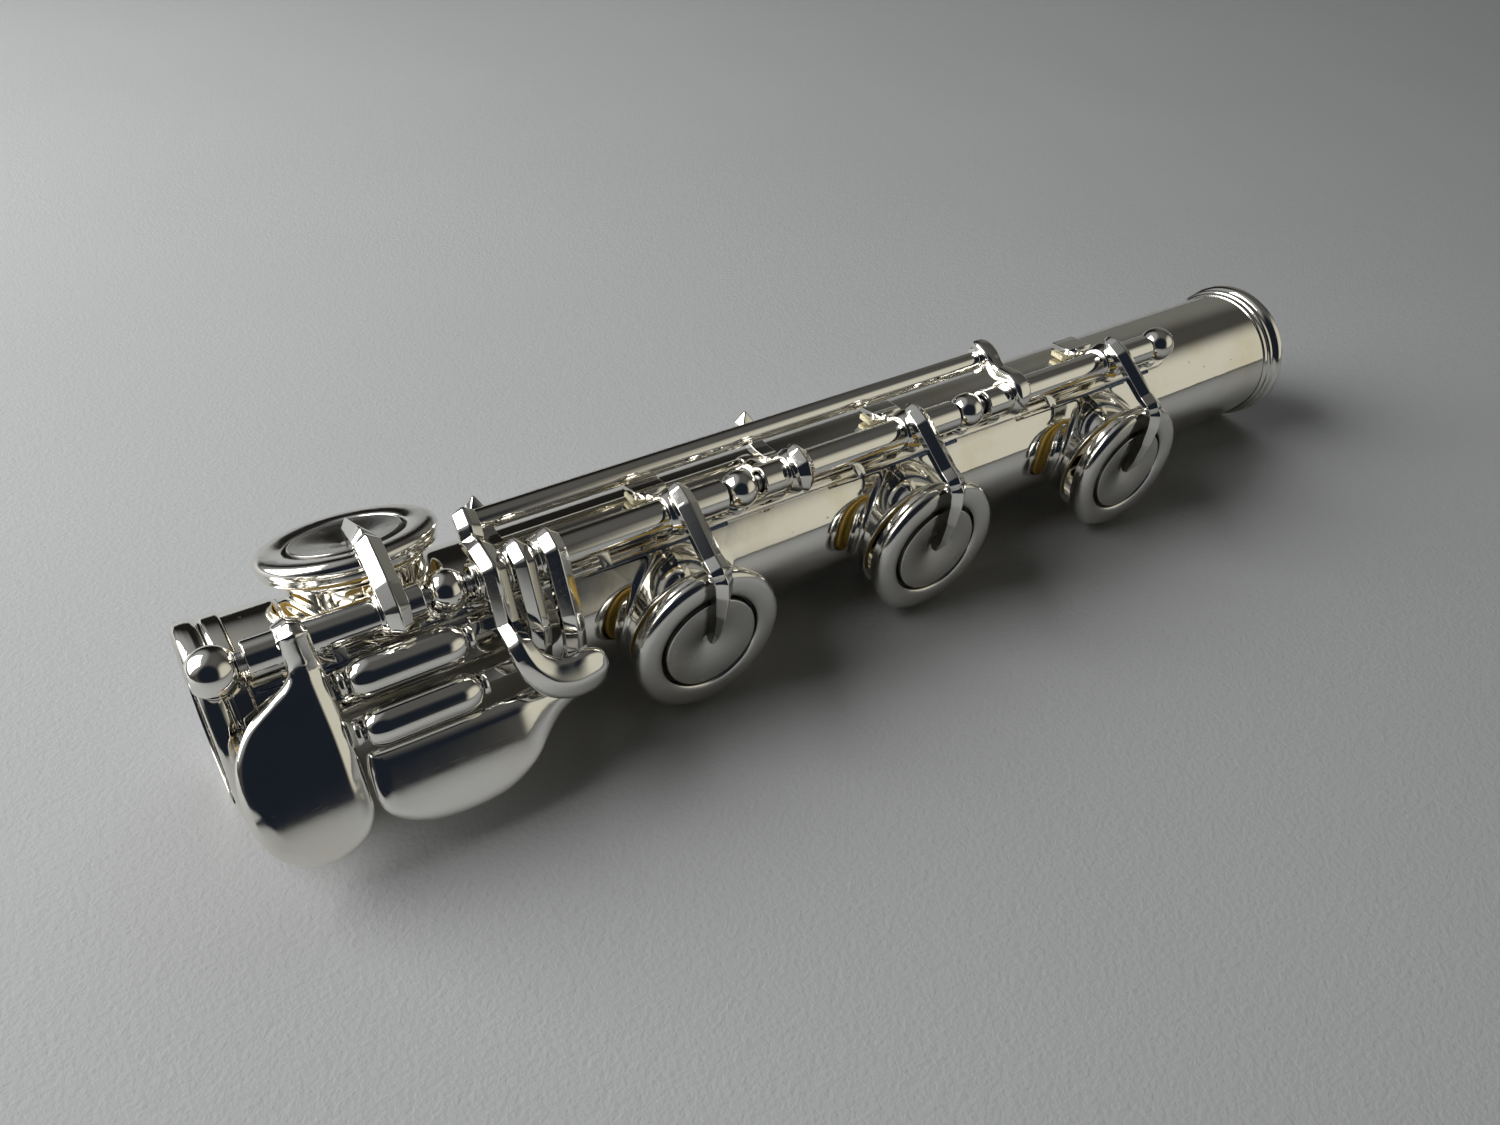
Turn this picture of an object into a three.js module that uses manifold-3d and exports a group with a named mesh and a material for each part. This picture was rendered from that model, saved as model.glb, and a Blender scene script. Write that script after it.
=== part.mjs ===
// Lower joint of a concert flute: tube, drawn tone holes, four keys on one hinge line, two bridge rods.
// Millimetres. X runs from the socket to the open end, +Z is up as the joint lies on a table.
import * as THREE from 'three';
import { mergeVertices } from 'three/addons/utils/BufferGeometryUtils.js';
import Module from 'manifold-3d';

const wasm = await Module();
wasm.setup();

// ---- driving dimensions -------------------------------------------------
const LENGTH = 167.4;          // socket face to open end
const TUBE_R = 9.9;            // main tube outside radius
const BORE_R = 9.5;            // main bore radius
const SOCKET_R = 10.3;         // socket outside radius
const SOCKET_BORE_R = 9.95;    // socket bore radius
const SOCKET_DEPTH = 10;       // how far the body joint enters
const RING_R = 10.94;          // both end rings
const HINGE_DIR = 29.5;        // hinge line, degrees from +Z towards -Y
const HINGE_RAD = 13.75;       // hinge line to tube axis
const HINGE_TUBE_R = 2.0;      // key tubing outside radius
const HINGE_BORE_R = 1.3;      // key tubing bore radius
const STEEL_R = 1.1;           // hinge steel radius
const CLUTCH_R = 2.9;          // collars on the key tubing
const POST_X = [1.9, 25.3, 62.1, 98.5, 136.6];
const POST_BALL_R = [2.6, 2.35, 2.35, 2.35, 2.5];
const HOLE_X = { eb: 19.0, cs: 52.6, c: 87.6, b: 124.6 };
const EB_DIR = -20.7;          // direction of the E flat tone hole
const SIDE_DIR = 97.4;         // direction of the other three tone holes
const HOLE_R = { eb: 6.9, cs: 7.6, c: 7.6, b: 7.6 };   // tone-hole opening radii
const RIM_H = 11.9;            // tone-hole rim above the tube axis
const CUP_R = 9.8;             // key-cup outside radius
const CUP_H = 14.85;           // closed cup top above the tube axis
const OPEN_DEG = 6.5;          // standing-open angle of the C sharp, C and B keys
const TOUCH_DIR = 60;          // outward direction of the touches and rollers
const ROD_B = [-0.4, 14.5];    // bridge rod of the B key (y, z)
const ROD_C = [3.2, 11.9];     // bridge rod of the C key (y, z)
const ROD_R = 1.3;             // bridge rod radius
const ROLLER_R = 2.1;          // roller radius
const ROLLER_D = 14.5;         // roller axes, height along TOUCH_DIR
const ROLLER_S = { b: -2.0, c: 3.3 };
const ROLLER_X = [12.8, 25.0];  // both rollers, end to end
const ROUND = 40;              // facets round the tube

const rad = (deg) => deg * Math.PI / 180;
const polar = (deg, r) => [-r * Math.sin(rad(deg)), r * Math.cos(rad(deg))];
const HINGE = polar(HINGE_DIR, HINGE_RAD);

// ---- solid helpers ------------------------------------------------------
function solid(geometry) {
  const g = geometry.clone();
  g.deleteAttribute('normal');
  g.deleteAttribute('uv');
  const m = mergeVertices(g, 1e-5);
  return new wasm.Manifold(new wasm.Mesh({
    numProp: 3,
    vertProperties: new Float32Array(m.attributes.position.array),
    triVerts: new Uint32Array(m.index.array),
  }));
}

function geometryOf(manifold) {
  const mesh = manifold.getMesh();
  const g = new THREE.BufferGeometry();
  g.setAttribute('position', new THREE.BufferAttribute(new Float32Array(mesh.vertProperties), 3));
  g.setIndex(new THREE.BufferAttribute(new Uint32Array(mesh.triVerts), 1));
  return g;
}

const union = (...parts) => parts.reduce((a, b) => a.add(b));

// Profile [axial, radius] turned about +X.
function turnedX(profile, segments) {
  const g = new THREE.LatheGeometry(profile.map(([x, r]) => new THREE.Vector2(r, x)), segments);
  g.rotateZ(-Math.PI / 2);
  const s = solid(g);
  return s.volume() < 0 ? solid(flip(g)) : s;
}

function flip(g) {
  const f = g.clone();
  const a = f.index.array;
  for (let i = 0; i < a.length; i += 3) {
    const t = a[i];
    a[i] = a[i + 2];
    a[i + 2] = t;
  }
  return f;
}

// Profile [height, radius] turned about an axis that leaves (x, y0, z0) in direction deg.
function turnedOut(profile, segments, x, deg, y0 = 0, z0 = 0) {
  const s = turnedX(profile, segments);
  const d = rad(deg);
  const m = new THREE.Matrix4().makeBasis(
    new THREE.Vector3(0, -Math.sin(d), Math.cos(d)),
    new THREE.Vector3(1, 0, 0),
    new THREE.Vector3(0, Math.cos(d), Math.sin(d)),
  );
  m.setPosition(x, y0, z0);
  return s.transform(Array.from(m.elements));
}

const rodX = (x0, x1, r, y, z, segments) =>
  turnedX([[x0, 0], [x0, r], [x1, r], [x1, 0]], segments).translate([0, y, z]);

const tubeX = (x0, x1, r, bore, y, z, segments) =>
  turnedX([[x0, bore], [x0, r], [x1, r], [x1, bore], [x0, bore]], segments).translate([0, y, z]);

// Closed skin over rings with the same number of points.
function loft(rings) {
  const n = rings[0].length;
  const pos = [];
  for (const ring of rings) {
    for (const p of ring) pos.push(...p);
  }
  const idx = [];
  for (let k = 0; k + 1 < rings.length; k += 1) {
    for (let i = 0; i < n; i += 1) {
      const j = (i + 1) % n;
      idx.push(k * n + i, k * n + j, (k + 1) * n + j, k * n + i, (k + 1) * n + j, (k + 1) * n + i);
    }
  }
  const last = (rings.length - 1) * n;
  for (let i = 1; i + 1 < n; i += 1) {
    idx.push(0, i + 1, i, last, last + i, last + i + 1);
  }
  const g = new THREE.BufferGeometry();
  g.setAttribute('position', new THREE.Float32BufferAttribute(pos, 3));
  g.setIndex(idx);
  const s = solid(g);
  return s.volume() < 0 ? solid(flip(g)) : s;
}

// Chamfered bar with a low roof ridge. Stations hold centre c, width and thickness axes, half sizes.
function strap(stations) {
  return loft(stations.map(({ c, across, up, w, h, ridge = 0 }) => {
    const k = Math.min(w, h) * 0.4;
    const pts = [
      [-w, -h + k], [-w + k, -h], [w - k, -h], [w, -h + k],
      [w, h - k], [w - k, h], [0, h + ridge], [-w + k, h], [-w, h - k],
    ];
    return pts.map(([a, b]) => [0, 1, 2].map((i) => c[i] + across[i] * a + up[i] * b));
  }));
}

// Bar that follows points [y, z, half width, half thickness, ridge] in the plane x = const.
function arm(x, points) {
  return strap(points.map(([y, z, w, h, ridge], i) => {
    const a = points[Math.max(i - 1, 0)];
    const b = points[Math.min(i + 1, points.length - 1)];
    const dy = b[0] - a[0];
    const dz = b[1] - a[1];
    const len = Math.hypot(dy, dz);
    return { c: [x, y, z], across: [1, 0, 0], up: [0, dz / len, -dy / len], w, h, ridge };
  }));
}

// Touch frame: x along the tube, s down the touch plane, d outward from the tube axis.
const T_OUT = [-Math.sin(rad(TOUCH_DIR)), Math.cos(rad(TOUCH_DIR))];
const T_DOWN = [-Math.cos(rad(TOUCH_DIR)), -Math.sin(rad(TOUCH_DIR))];
const touch = (s, d) => [T_OUT[0] * d + T_DOWN[0] * s, T_OUT[1] * d + T_DOWN[1] * s];

// Bar that follows points [x, s, d, half width, half thickness, ridge] over the touch plane.
function touchBar(points) {
  return strap(points.map(([x, s, d, w, h, ridge], i) => {
    const a = points[Math.max(i - 1, 0)];
    const b = points[Math.min(i + 1, points.length - 1)];
    const along = new THREE.Vector3(b[0] - a[0], b[1] - a[1], b[2] - a[2]).normalize();
    const out = new THREE.Vector3(0, 0, 1).addScaledVector(along, -along.z).normalize();
    const side = new THREE.Vector3().crossVectors(out, along);
    const world = (v) => [v.x, T_DOWN[0] * v.y + T_OUT[0] * v.z, T_DOWN[1] * v.y + T_OUT[1] * v.z];
    return { c: [x, ...touch(s, d)], across: world(side), up: world(out), w, h, ridge };
  }));
}

// Plate with a rounded border: smooth outline [x, s] through the touch plane, top at height d.
function plate(outline, d, thickness, bevel, points) {
  const curve = new THREE.CatmullRomCurve3(outline.map(([x, s]) => new THREE.Vector3(x, s, 0)), true);
  const ring = curve.getSpacedPoints(points).slice(0, points);
  let cx = 0;
  let cs = 0;
  for (const p of ring) {
    cx += p.x / points;
    cs += p.y / points;
  }
  const layers = [
    [0.12, -thickness], [0, -thickness * 0.75], [0, -thickness * 0.45],
    [bevel * 0.3, -thickness * 0.14], [bevel, 0],
  ];
  return loft(layers.map(([inset, h]) => ring.map((p) => {
    const r = Math.hypot(p.x - cx, p.y - cs);
    const f = (r - inset) / r;
    return [cx + (p.x - cx) * f, ...touch(cs + (p.y - cs) * f, d + h)];
  })));
}

// Move a solid built closed to the standing-open rest position.
function opened(s) {
  return s.translate([0, -HINGE[0], -HINGE[1]]).rotate([-OPEN_DEG, 0, 0]).translate([0, ...HINGE]);
}

// ---- materials and nodes ------------------------------------------------
const SILVER = { color: 0xcfccc4, roughness: 0.22, metalness: 1 };
const STEEL = { color: 0x9aa0a6, roughness: 0.3, metalness: 1 };
const BLUED = { color: 0x39424f, roughness: 0.35, metalness: 1 };
const PAD = { color: 0xc99a2e, roughness: 0.6, metalness: 0 };
const CORK = { color: 0xb98450, roughness: 0.85, metalness: 0 };

const group = new THREE.Group();
group.name = 'flute_foot_joint';

function node(name, look, manifold) {
  const mesh = new THREE.Mesh(geometryOf(manifold), new THREE.MeshStandardMaterial(look));
  mesh.name = name;
  group.add(mesh);
}

// ---- tube ---------------------------------------------------------------
const HOLES = ['eb', 'cs', 'c', 'b'].map((key) => (
  [HOLE_X[key], key === 'eb' ? EB_DIR : SIDE_DIR, HOLE_R[key]]
));

function chimney(x, dir, holeR) {
  const top = RIM_H;
  const wall = holeR + 0.45;
  return turnedOut([
    [5.5, 0], [5.5, wall + 0.1], [top - 0.8, wall], [top - 0.55, wall + 0.4],
    [top - 0.2, wall + 0.45], [top, wall + 0.1], [top, 0],
  ], 30, x, dir);
}

function footTube() {
  let body = turnedX([
    [0.9, 0], [0.9, SOCKET_R], [SOCKET_DEPTH, SOCKET_R], [SOCKET_DEPTH + 0.5, TUBE_R],
    [LENGTH - 0.9, TUBE_R], [LENGTH - 0.9, 0],
  ], ROUND);
  for (const hole of HOLES) body = body.add(chimney(...hole));
  body = body.subtract(turnedX([
    [-1, 0], [-1, SOCKET_BORE_R], [SOCKET_DEPTH - 0.2, SOCKET_BORE_R], [SOCKET_DEPTH, BORE_R],
    [LENGTH + 1, BORE_R], [LENGTH + 1, 0],
  ], ROUND));
  for (const [x, dir, r] of HOLES) {
    body = body.subtract(turnedOut([[3, 0], [3, r], [15, r], [15, 0]], 30, x, dir));
  }
  return body;
}
node('foot_tube', SILVER, footTube());

const closed = (profile) => [...profile, profile[0]];
node('socket_ring', SILVER, turnedX(closed([
  [0, SOCKET_BORE_R], [0, 10.55], [0.4, 10.86], [0.9, RING_R], [1.9, RING_R], [2.5, 10.7],
  [2.7, 10.58], [3.0, 10.78], [4.5, 10.78], [4.7, 10.45], [0.65, 10.45], [0.65, SOCKET_BORE_R],
]), ROUND));
node('end_ring', SILVER, turnedX(closed([
  [LENGTH, BORE_R], [LENGTH, 10.5], [LENGTH - 0.35, 10.84], [LENGTH - 0.8, RING_R],
  [LENGTH - 1.5, RING_R], [LENGTH - 2.1, 10.6], [LENGTH - 2.3, 10.35], [LENGTH - 2.55, 10.6],
  [LENGTH - 3.1, 10.6], [LENGTH - 3.3, 10.32], [LENGTH - 4.0, 10.3], [LENGTH - 4.0, 10.08],
  [LENGTH - 0.65, 10.08], [LENGTH - 0.65, BORE_R],
]), ROUND));

// ---- rib, posts and hinge steel -----------------------------------------
function postRib() {
  const inner = [];
  const outer = [];
  for (let i = 0; i <= 6; i += 1) {
    const a = HINGE_DIR + (i - 3) * 4.2;
    inner.push(polar(a, TUBE_R + 0.2));
    outer.push(polar(a, i % 6 ? TUBE_R + 0.8 : TUBE_R + 0.55));
  }
  const ring = [...inner, ...outer.reverse()];
  const bar = loft([[11, ring], [141.5, ring]].map(([x, pts]) => pts.map(([y, z]) => [x, y, z])));
  return bar.subtract(turnedOut([[3, 0], [3, 8.3], [15, 8.3], [15, 0]], 30, HOLE_X.eb, EB_DIR));
}
node('post_rib', SILVER, postRib());

function post(x, ballR, seat) {
  const ball = [];
  for (let i = 0; i < 7; i += 1) {
    const a = rad(-62 + i * 22);
    ball.push([HINGE_RAD + ballR * Math.sin(a), ballR * Math.cos(a)]);
  }
  ball.push([HINGE_RAD + ballR, 0]);
  const neck = HINGE_RAD - ballR * 0.88;
  const profile = [
    [seat - 1.2, 0], [seat - 1.2, 1.85], [seat + 0.35, 1.85], [seat + 0.6, 1.35],
    [neck - 0.15, 1.2], ...ball,
  ];
  const bore = rodX(x - 5, x + 5, HINGE_BORE_R, ...HINGE, 12);
  const under = rodX(x - 6, x + 6, seat, 0, 0, ROUND);
  return turnedOut(profile, 16, x, HINGE_DIR).subtract(bore).subtract(under);
}
POST_X.forEach((x, i) => {
  node(`post_${i + 1}`, SILVER, post(x, POST_BALL_R[i], i === 0 ? 11.05 : 10.85));
});

function hingeSteel() {
  const x0 = POST_X[0] - 1.9;
  const x1 = POST_X[4] + 1.9;
  const slot = wasm.Manifold.cube([0.6, 3, 0.35], true);
  return rodX(x0, x1, STEEL_R, ...HINGE, 12)
    .subtract(slot.translate([x0, ...HINGE]))
    .subtract(slot.translate([x1, ...HINGE]));
}
node('hinge_steel', STEEL, hingeSteel());

// ---- needle springs -----------------------------------------------------
const SPRING_DIR = 149.5;
const SPRING_RAD = 3.4;
const aroundHinge = (deg, r) => {
  const [y, z] = polar(deg, r);
  return [HINGE[0] + y, HINGE[1] + z];
};
const SPRINGS = { eb: [4.9, 13.9], cs: [42, 59.3], c: [78, 95.7], b: [112, 133.7] };
for (const [key, [x0, x1]] of Object.entries(SPRINGS)) {
  node(`${key}_needle_spring`, BLUED, rodX(x0, x1, 0.3, ...aroundHinge(SPRING_DIR, SPRING_RAD), 6));
}

// Small catch on the key tubing that the needle spring bears on.
function catchAt(x, offset) {
  const dir = SPRING_DIR - offset;
  const [y, z] = aroundHinge(dir, 2.5);
  return wasm.Manifold.cube([1.2, 0.45, 1.8], true).rotate([dir, 0, 0]).translate([x, y, z]);
}

const keyTube = (x0, x1) => tubeX(x0, x1, HINGE_TUBE_R, HINGE_BORE_R, ...HINGE, 16);
const collar = (x, w) => tubeX(x - w, x + w, CLUTCH_R, HINGE_TUBE_R + 0.2, ...HINGE, 16);
const collarBore = (x, w) => rodX(x - w, x + w, HINGE_TUBE_R + 0.2, ...HINGE, 16);
const onCollar = (x, w, s) => s.subtract(collarBore(x, 6)).add(collar(x, w));

// ---- cups and pads ------------------------------------------------------
function cup(x, dir) {
  const t = CUP_H;
  return turnedOut([
    [t - 0.95, 0], [t - 0.95, 9.05], [t - 2.3, 9.05], [t - 2.3, 9.5], [t - 1.1, CUP_R],
    [t - 0.35, 9.5], [t + 0.15, 8.4], [t, 7.3], [t - 0.4, 7.0], [t - 0.15, 6.5], [t - 0.4, 0],
  ], 32, x, dir);
}

function pad(x, dir) {
  const f = CUP_H - 2.75;
  return turnedOut([
    [f, 0], [f, 8.2], [f + 0.35, 8.7], [f + 1.5, 8.7], [f + 1.5, 0],
  ], 32, x, dir);
}

// ---- E flat key ---------------------------------------------------------
node('eb_key_tube', SILVER, keyTube(4.9, 22.6).add(catchAt(13.3, 21)));
node('eb_cup', SILVER, cup(HOLE_X.eb, EB_DIR));
node('eb_pad', PAD, pad(HOLE_X.eb, EB_DIR));

function ebCupArm() {
  const x = HOLE_X.eb + 0.2;
  const out = polar(EB_DIR, 1);
  const over = (e, w) => [
    out[0] * (CUP_H + w) + out[1] * e, out[1] * (CUP_H + w) - out[0] * e,
  ];
  const bar = arm(x, [
    [-10.3, 12.5, 0.9, 0.5, 0.1], [-9.6, 14.2, 1.5, 0.8, 0.3], [-7.4, 16.0, 1.6, 0.9, 0.35],
    [...over(-10.2, 1.0), 1.6, 0.75, 0.35], [...over(-8.4, 1.25), 1.5, 0.65, 0.4],
    [...over(-4.5, 0.95), 1.0, 0.5, 0.35], [...over(-1.5, 0.5), 0.45, 0.4, 0.2],
    [...over(0.2, 0.15), 0.1, 0.2, 0.05],
  ]);
  return onCollar(x, 1.5, bar);
}
node('eb_cup_arm', SILVER, ebCupArm());

function ebTouch() {
  const x = 9.4;
  const bar = arm(x, [
    [-3.9, 13.2, 0.25, 0.4, 0.05], [-5.4, 14.9, 1.5, 0.8, 0.3], [-7.9, 15.2, 1.65, 0.9, 0.3],
    [-10.0, 13.9, 1.6, 0.9, 0.3], [-11.3, 11.9, 1.5, 0.9, 0.3], [...touch(-2.6, 14.9), 1.7, 0.8, 0.2],
    [...touch(1.5, 15.2), 2.2, 0.6, 0],
  ]);
  const leaf = plate([
    [8.3, -2.8], [10.3, -2.8], [10.9, 2.2], [11.2, 6.6], [11.2, 11.2], [10.0, 14.2], [6.3, 15.1],
    [3.4, 14.3], [1.4, 12.3], [0.2, 8.8], [0.1, 5.2], [1.3, 2.1], [3.6, -0.1], [6.3, -1.6],
  ], 16, 1.8, 1.5, 34);
  return onCollar(x, 1.5, bar.add(leaf));
}
node('eb_touch', SILVER, ebTouch());

function ebTouchCork() {
  const ring = [[2.2, 3.0], [5.8, 3.0], [5.8, 6.2], [2.2, 6.2]];
  return loft([12.1, 13.9].map((d) => ring.map(([x, s]) => [x, ...touch(s, d)])));
}
node('eb_touch_cork', CORK, ebTouchCork());

// ---- shared parts of the standing-open keys -----------------------------
function sideCupArm(x) {
  const bar = arm(x, [
    [-4.7, 14.9, 0.2, 0.35, 0.05], [-5.9, 15.6, 1.3, 0.7, 0.25], [-8.3, 15.2, 1.5, 0.85, 0.3],
    [-11.0, 13.4, 1.45, 0.8, 0.3], [-14.4, 11.3, 1.45, 0.75, 0.3], [-16.9, 9.3, 1.5, 0.65, 0.35],
    [-17.3, 7.2, 1.4, 0.55, 0.35], [-17.1, 3.4, 0.85, 0.45, 0.3], [-16.85, -0.9, 0.12, 0.25, 0.05],
  ]);
  return onCollar(x, 1.5, bar);
}

const kickerX = { cs: HOLE_X.cs, c: HOLE_X.c + 0.8, b: HOLE_X.b };
function kicker(x) {
  return arm(x, [
    [-3.4, 12.6, 1.4, 0.55, 0], [-2.2, 12.0, 2.1, 0.55, 0], [0.9, 11.7, 2.1, 0.55, 0],
  ]);
}
function kickerCork(x) {
  return wasm.Manifold.cube([4.0, 2.3, 0.75], true).translate([x, -0.3, 10.62]);
}

for (const key of ['cs', 'c', 'b']) {
  node(`${key}_cup`, SILVER, opened(cup(HOLE_X[key], SIDE_DIR)));
  node(`${key}_pad`, PAD, opened(pad(HOLE_X[key], SIDE_DIR)));
  node(`${key}_cup_arm`, SILVER, sideCupArm(HOLE_X[key] + 0.3));
  node(`${key}_kicker`, SILVER, kicker(kickerX[key]));
  node(`${key}_kicker_cork`, CORK, kickerCork(kickerX[key]));
}

// ---- C sharp key --------------------------------------------------------
node('cs_key_tube', SILVER, keyTube(34.8, 59.5).add(catchAt(42.9, 17)));

function csTouch() {
  const x = 36.7;
  const bar = arm(x, [
    [-3.9, 13.2, 0.25, 0.4, 0.05], [-5.4, 14.9, 1.2, 0.8, 0.3], [-7.9, 15.2, 1.3, 0.9, 0.3],
    [-9.8, 13.9, 1.25, 0.9, 0.3], [...touch(-5.4, 13.4), 1.25, 0.8, 0.3],
    [...touch(0, 12.9), 1.25, 0.8, 0.3], [...touch(4.2, 12.7), 1.3, 0.8, 0.2],
  ]);
  const elbow = touchBar([
    [36.7, 2.6, 12.6, 1.25, 0.75, 0.1], [36.4, 5.6, 12.4, 1.35, 0.75, 0.1],
    [34.6, 8.5, 12.8, 1.5, 0.75, 0.1], [31.6, 9.9, 13.8, 1.8, 0.75, 0],
    [28.4, 10.2, 14.9, 2.2, 0.7, 0],
  ]);
  const leaf = plate([
    [12.8, 6.6], [12.5, 9.2], [12.8, 12.0], [15.7, 14.5], [19.6, 15.8], [23.2, 15.7],
    [26.4, 14.1], [29.2, 11.7], [31.0, 9.4], [29.4, 7.6], [26.4, 7.0], [21.6, 7.0], [17.0, 6.8],
  ], 16, 1.7, 1.3, 34);
  return onCollar(x, 1.4, union(bar, elbow, leaf));
}
node('cs_touch', SILVER, csTouch());

// ---- rollers and their frames -------------------------------------------
function rollerFrame(s, xEnd, ear) {
  const bar = loft([ROLLER_X[0] - 1.0, xEnd].map((x) => [
    [s - 0.8, 10.95], [s + 0.8, 10.95], [s + 0.8, 11.85], [s - 0.8, 11.85],
  ].map(([a, d]) => [x, ...touch(a, d)])));
  const ears = [ROLLER_X[0] - 0.6, ROLLER_X[1] + 0.6].map((x) => loft([x - 0.38, x + 0.38].map((q) => [
    [s - 0.85, 11.2], [s + 0.85, 11.2], [s + ear, ROLLER_D - 0.4], [s + 0.8, ROLLER_D + 1.1],
    [s - 0.8, ROLLER_D + 1.1], [s - ear, ROLLER_D - 0.4],
  ].map(([a, d]) => [q, ...touch(a, d)]))));
  const pinHole = rodX(ROLLER_X[0] - 3, ROLLER_X[1] + 3, 0.75, ...touch(s, ROLLER_D), 12);
  return union(bar, ...ears).subtract(pinHole);
}

function roller(s) {
  const [a, b] = ROLLER_X;
  return turnedX([
    [a, 0.8], [a, 1.1], [a + 0.35, 1.7], [a + 1.1, 2.05], [a + 1.9, ROLLER_R], [b - 1.9, ROLLER_R],
    [b - 1.1, 2.05], [b - 0.35, 1.7], [b, 1.1], [b, 0.8], [a, 0.8],
  ], 20).translate([0, ...touch(s, ROLLER_D)]);
}

const rollerPin = (s) => rodX(ROLLER_X[0] - 0.95, ROLLER_X[1] + 0.95, 0.55, ...touch(s, ROLLER_D), 12);

for (const key of ['c', 'b']) {
  node(`${key}_roller`, SILVER, roller(ROLLER_S[key]));
  node(`${key}_roller_pin`, STEEL, rollerPin(ROLLER_S[key]));
}

// ---- C key --------------------------------------------------------------
node('c_lever_tube', SILVER, keyTube(31.6, 34.5));
node('c_key_tube', SILVER, keyTube(64.8, 95.8).add(catchAt(78.9, 17)));

function cLever() {
  const x = 33.05;
  const bar = arm(x, [
    [-3.9, 13.2, 0.25, 0.4, 0.05], [-5.4, 14.9, 1.1, 0.8, 0.3], [-7.9, 15.2, 1.2, 0.9, 0.3],
    [-9.8, 13.9, 1.2, 0.9, 0.3], [...touch(-5.4, 13.3), 1.2, 0.8, 0.3],
    [...touch(0, 12.6), 1.2, 0.8, 0.2], [...touch(3.6, 11.9), 1.2, 0.8, 0],
  ]);
  const frame = rollerFrame(ROLLER_S.c, x, 1.5);
  return onCollar(x, 1.25, bar.add(frame));
}
node('c_lever', SILVER, cLever());

// Low link that passes under the B rod and carries an end of the C rod.
function cLink(x) {
  const bar = arm(x, [
    [-4.1, 12.0, 1.0, 0.6, 0], [-2.6, 11.45, 1.0, 0.6, 0], [-0.4, 11.3, 1.0, 0.6, 0],
    [1.6, 11.5, 1.0, 0.7, 0], [3.2, 11.9, 1.0, 0.7, 0],
  ]);
  const head = arm(x, [
    [2.9, 10.6, 1.0, 1.2, 0], [3.2, 12.0, 1.15, 1.55, 0], [3.3, 13.4, 1.1, 1.2, 0],
    [3.4, 14.9, 0.25, 0.3, 0],
  ]);
  return bar.add(head).subtract(rodX(x - 3, x + 3, CLUTCH_R + 0.2, ...HINGE, 20));
}
node('c_link_left', SILVER, cLink(33.05));
node('c_link_right', SILVER, cLink(69.5));
node('c_rod', SILVER, rodX(34.5, 68.1, ROD_R - 0.05, ...ROD_C, 16));
node('c_link_collar', SILVER, collar(69.5, 1.3));

// ---- B key --------------------------------------------------------------
node('b_lever_tube', SILVER, keyTube(28.0, 31.3));
node('b_key_tube', SILVER, keyTube(101.2, 133.7).add(catchAt(112.9, 17)));
node('b_rod', SILVER, rodX(31.2, 104.9, ROD_R, ...ROD_B, 16));

function bLink() {
  const x = 106.3;
  const [y, z] = ROD_B;
  const bar = arm(x, [
    [HINGE[0], HINGE[1], 1.2, 1.2, 0], [-3.9, 13.1, 1.15, 1.0, 0.2], [-2.2, 13.8, 1.15, 1.3, 0.2],
    [y, z, 1.2, 1.9, 0.2], [y + 1.4, z + 0.6, 1.1, 1.5, 0.1], [y + 2.2, z + 0.9, 0.7, 0.8, 0],
  ]);
  return onCollar(x, 1.2, bar);
}
node('b_link', SILVER, bLink());

function gizmo() {
  const x = 29.65;
  const bar = arm(x, [
    [1.3, 16.4, 0.2, 0.4, 0], [0.2, 15.6, 1.15, 1.1, 0.3], [-1.6, 15.0, 1.2, 1.2, 0.3],
    [-4.6, 15.3, 1.2, 0.9, 0.3], [-7.2, 15.7, 1.2, 0.9, 0.3], [-9.4, 14.6, 1.2, 0.9, 0.3],
    [...touch(-5.4, 15.1), 1.2, 0.85, 0.3], [...touch(-1.6, 15.7), 1.2, 0.8, 0.3],
    [...touch(1.2, 16.0), 1.25, 0.8, 0.3],
  ]);
  const paddle = touchBar([
    [29.6, 0.2, 16.1, 1.2, 0.75, 0.3], [29.9, 2.3, 16.6, 1.45, 0.75, 0.35],
    [31.3, 4.3, 16.8, 2.0, 0.75, 0.4], [33.6, 5.4, 16.7, 2.5, 0.75, 0.4],
    [36.0, 5.5, 16.5, 2.6, 0.7, 0.35], [37.6, 5.4, 16.3, 1.9, 0.6, 0.2],
    [38.2, 5.3, 16.2, 0.8, 0.4, 0.1],
  ]);
  const web = loft([28.6, 30.4].map((q) => [
    [-3.0, 11.3], [-1.2, 11.3], [-0.9, 15.4], [-3.4, 15.1],
  ].map(([a, d]) => [q, ...touch(a, d)])));
  const frame = rollerFrame(ROLLER_S.b, 29.4, 1.5);
  return onCollar(x, 1.2, union(bar, paddle, web, frame));
}
node('gizmo', SILVER, gizmo());

// ---- origin at the centre of the footprint ------------------------------
const box = new THREE.Box3().setFromObject(group);
const shift = [-(box.min.x + box.max.x) / 2, -(box.min.y + box.max.y) / 2, -box.min.z];
for (const mesh of group.children) {
  mesh.geometry.translate(...shift);
  mesh.geometry.computeVertexNormals();
}

export default group;
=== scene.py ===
"""Looks of a flute's foot joint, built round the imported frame.

Sizes are in millimetres, with x along the tube from the socket face and the tube axis at y = z = 0.
world() takes them to the frame's metres.
"""
import random
from math import asin, atan2, cos, degrees, dist, exp, hypot, pi, radians, sin, sqrt

import bmesh
import bpy
from mathutils import Matrix, Vector, geometry, noise

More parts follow.
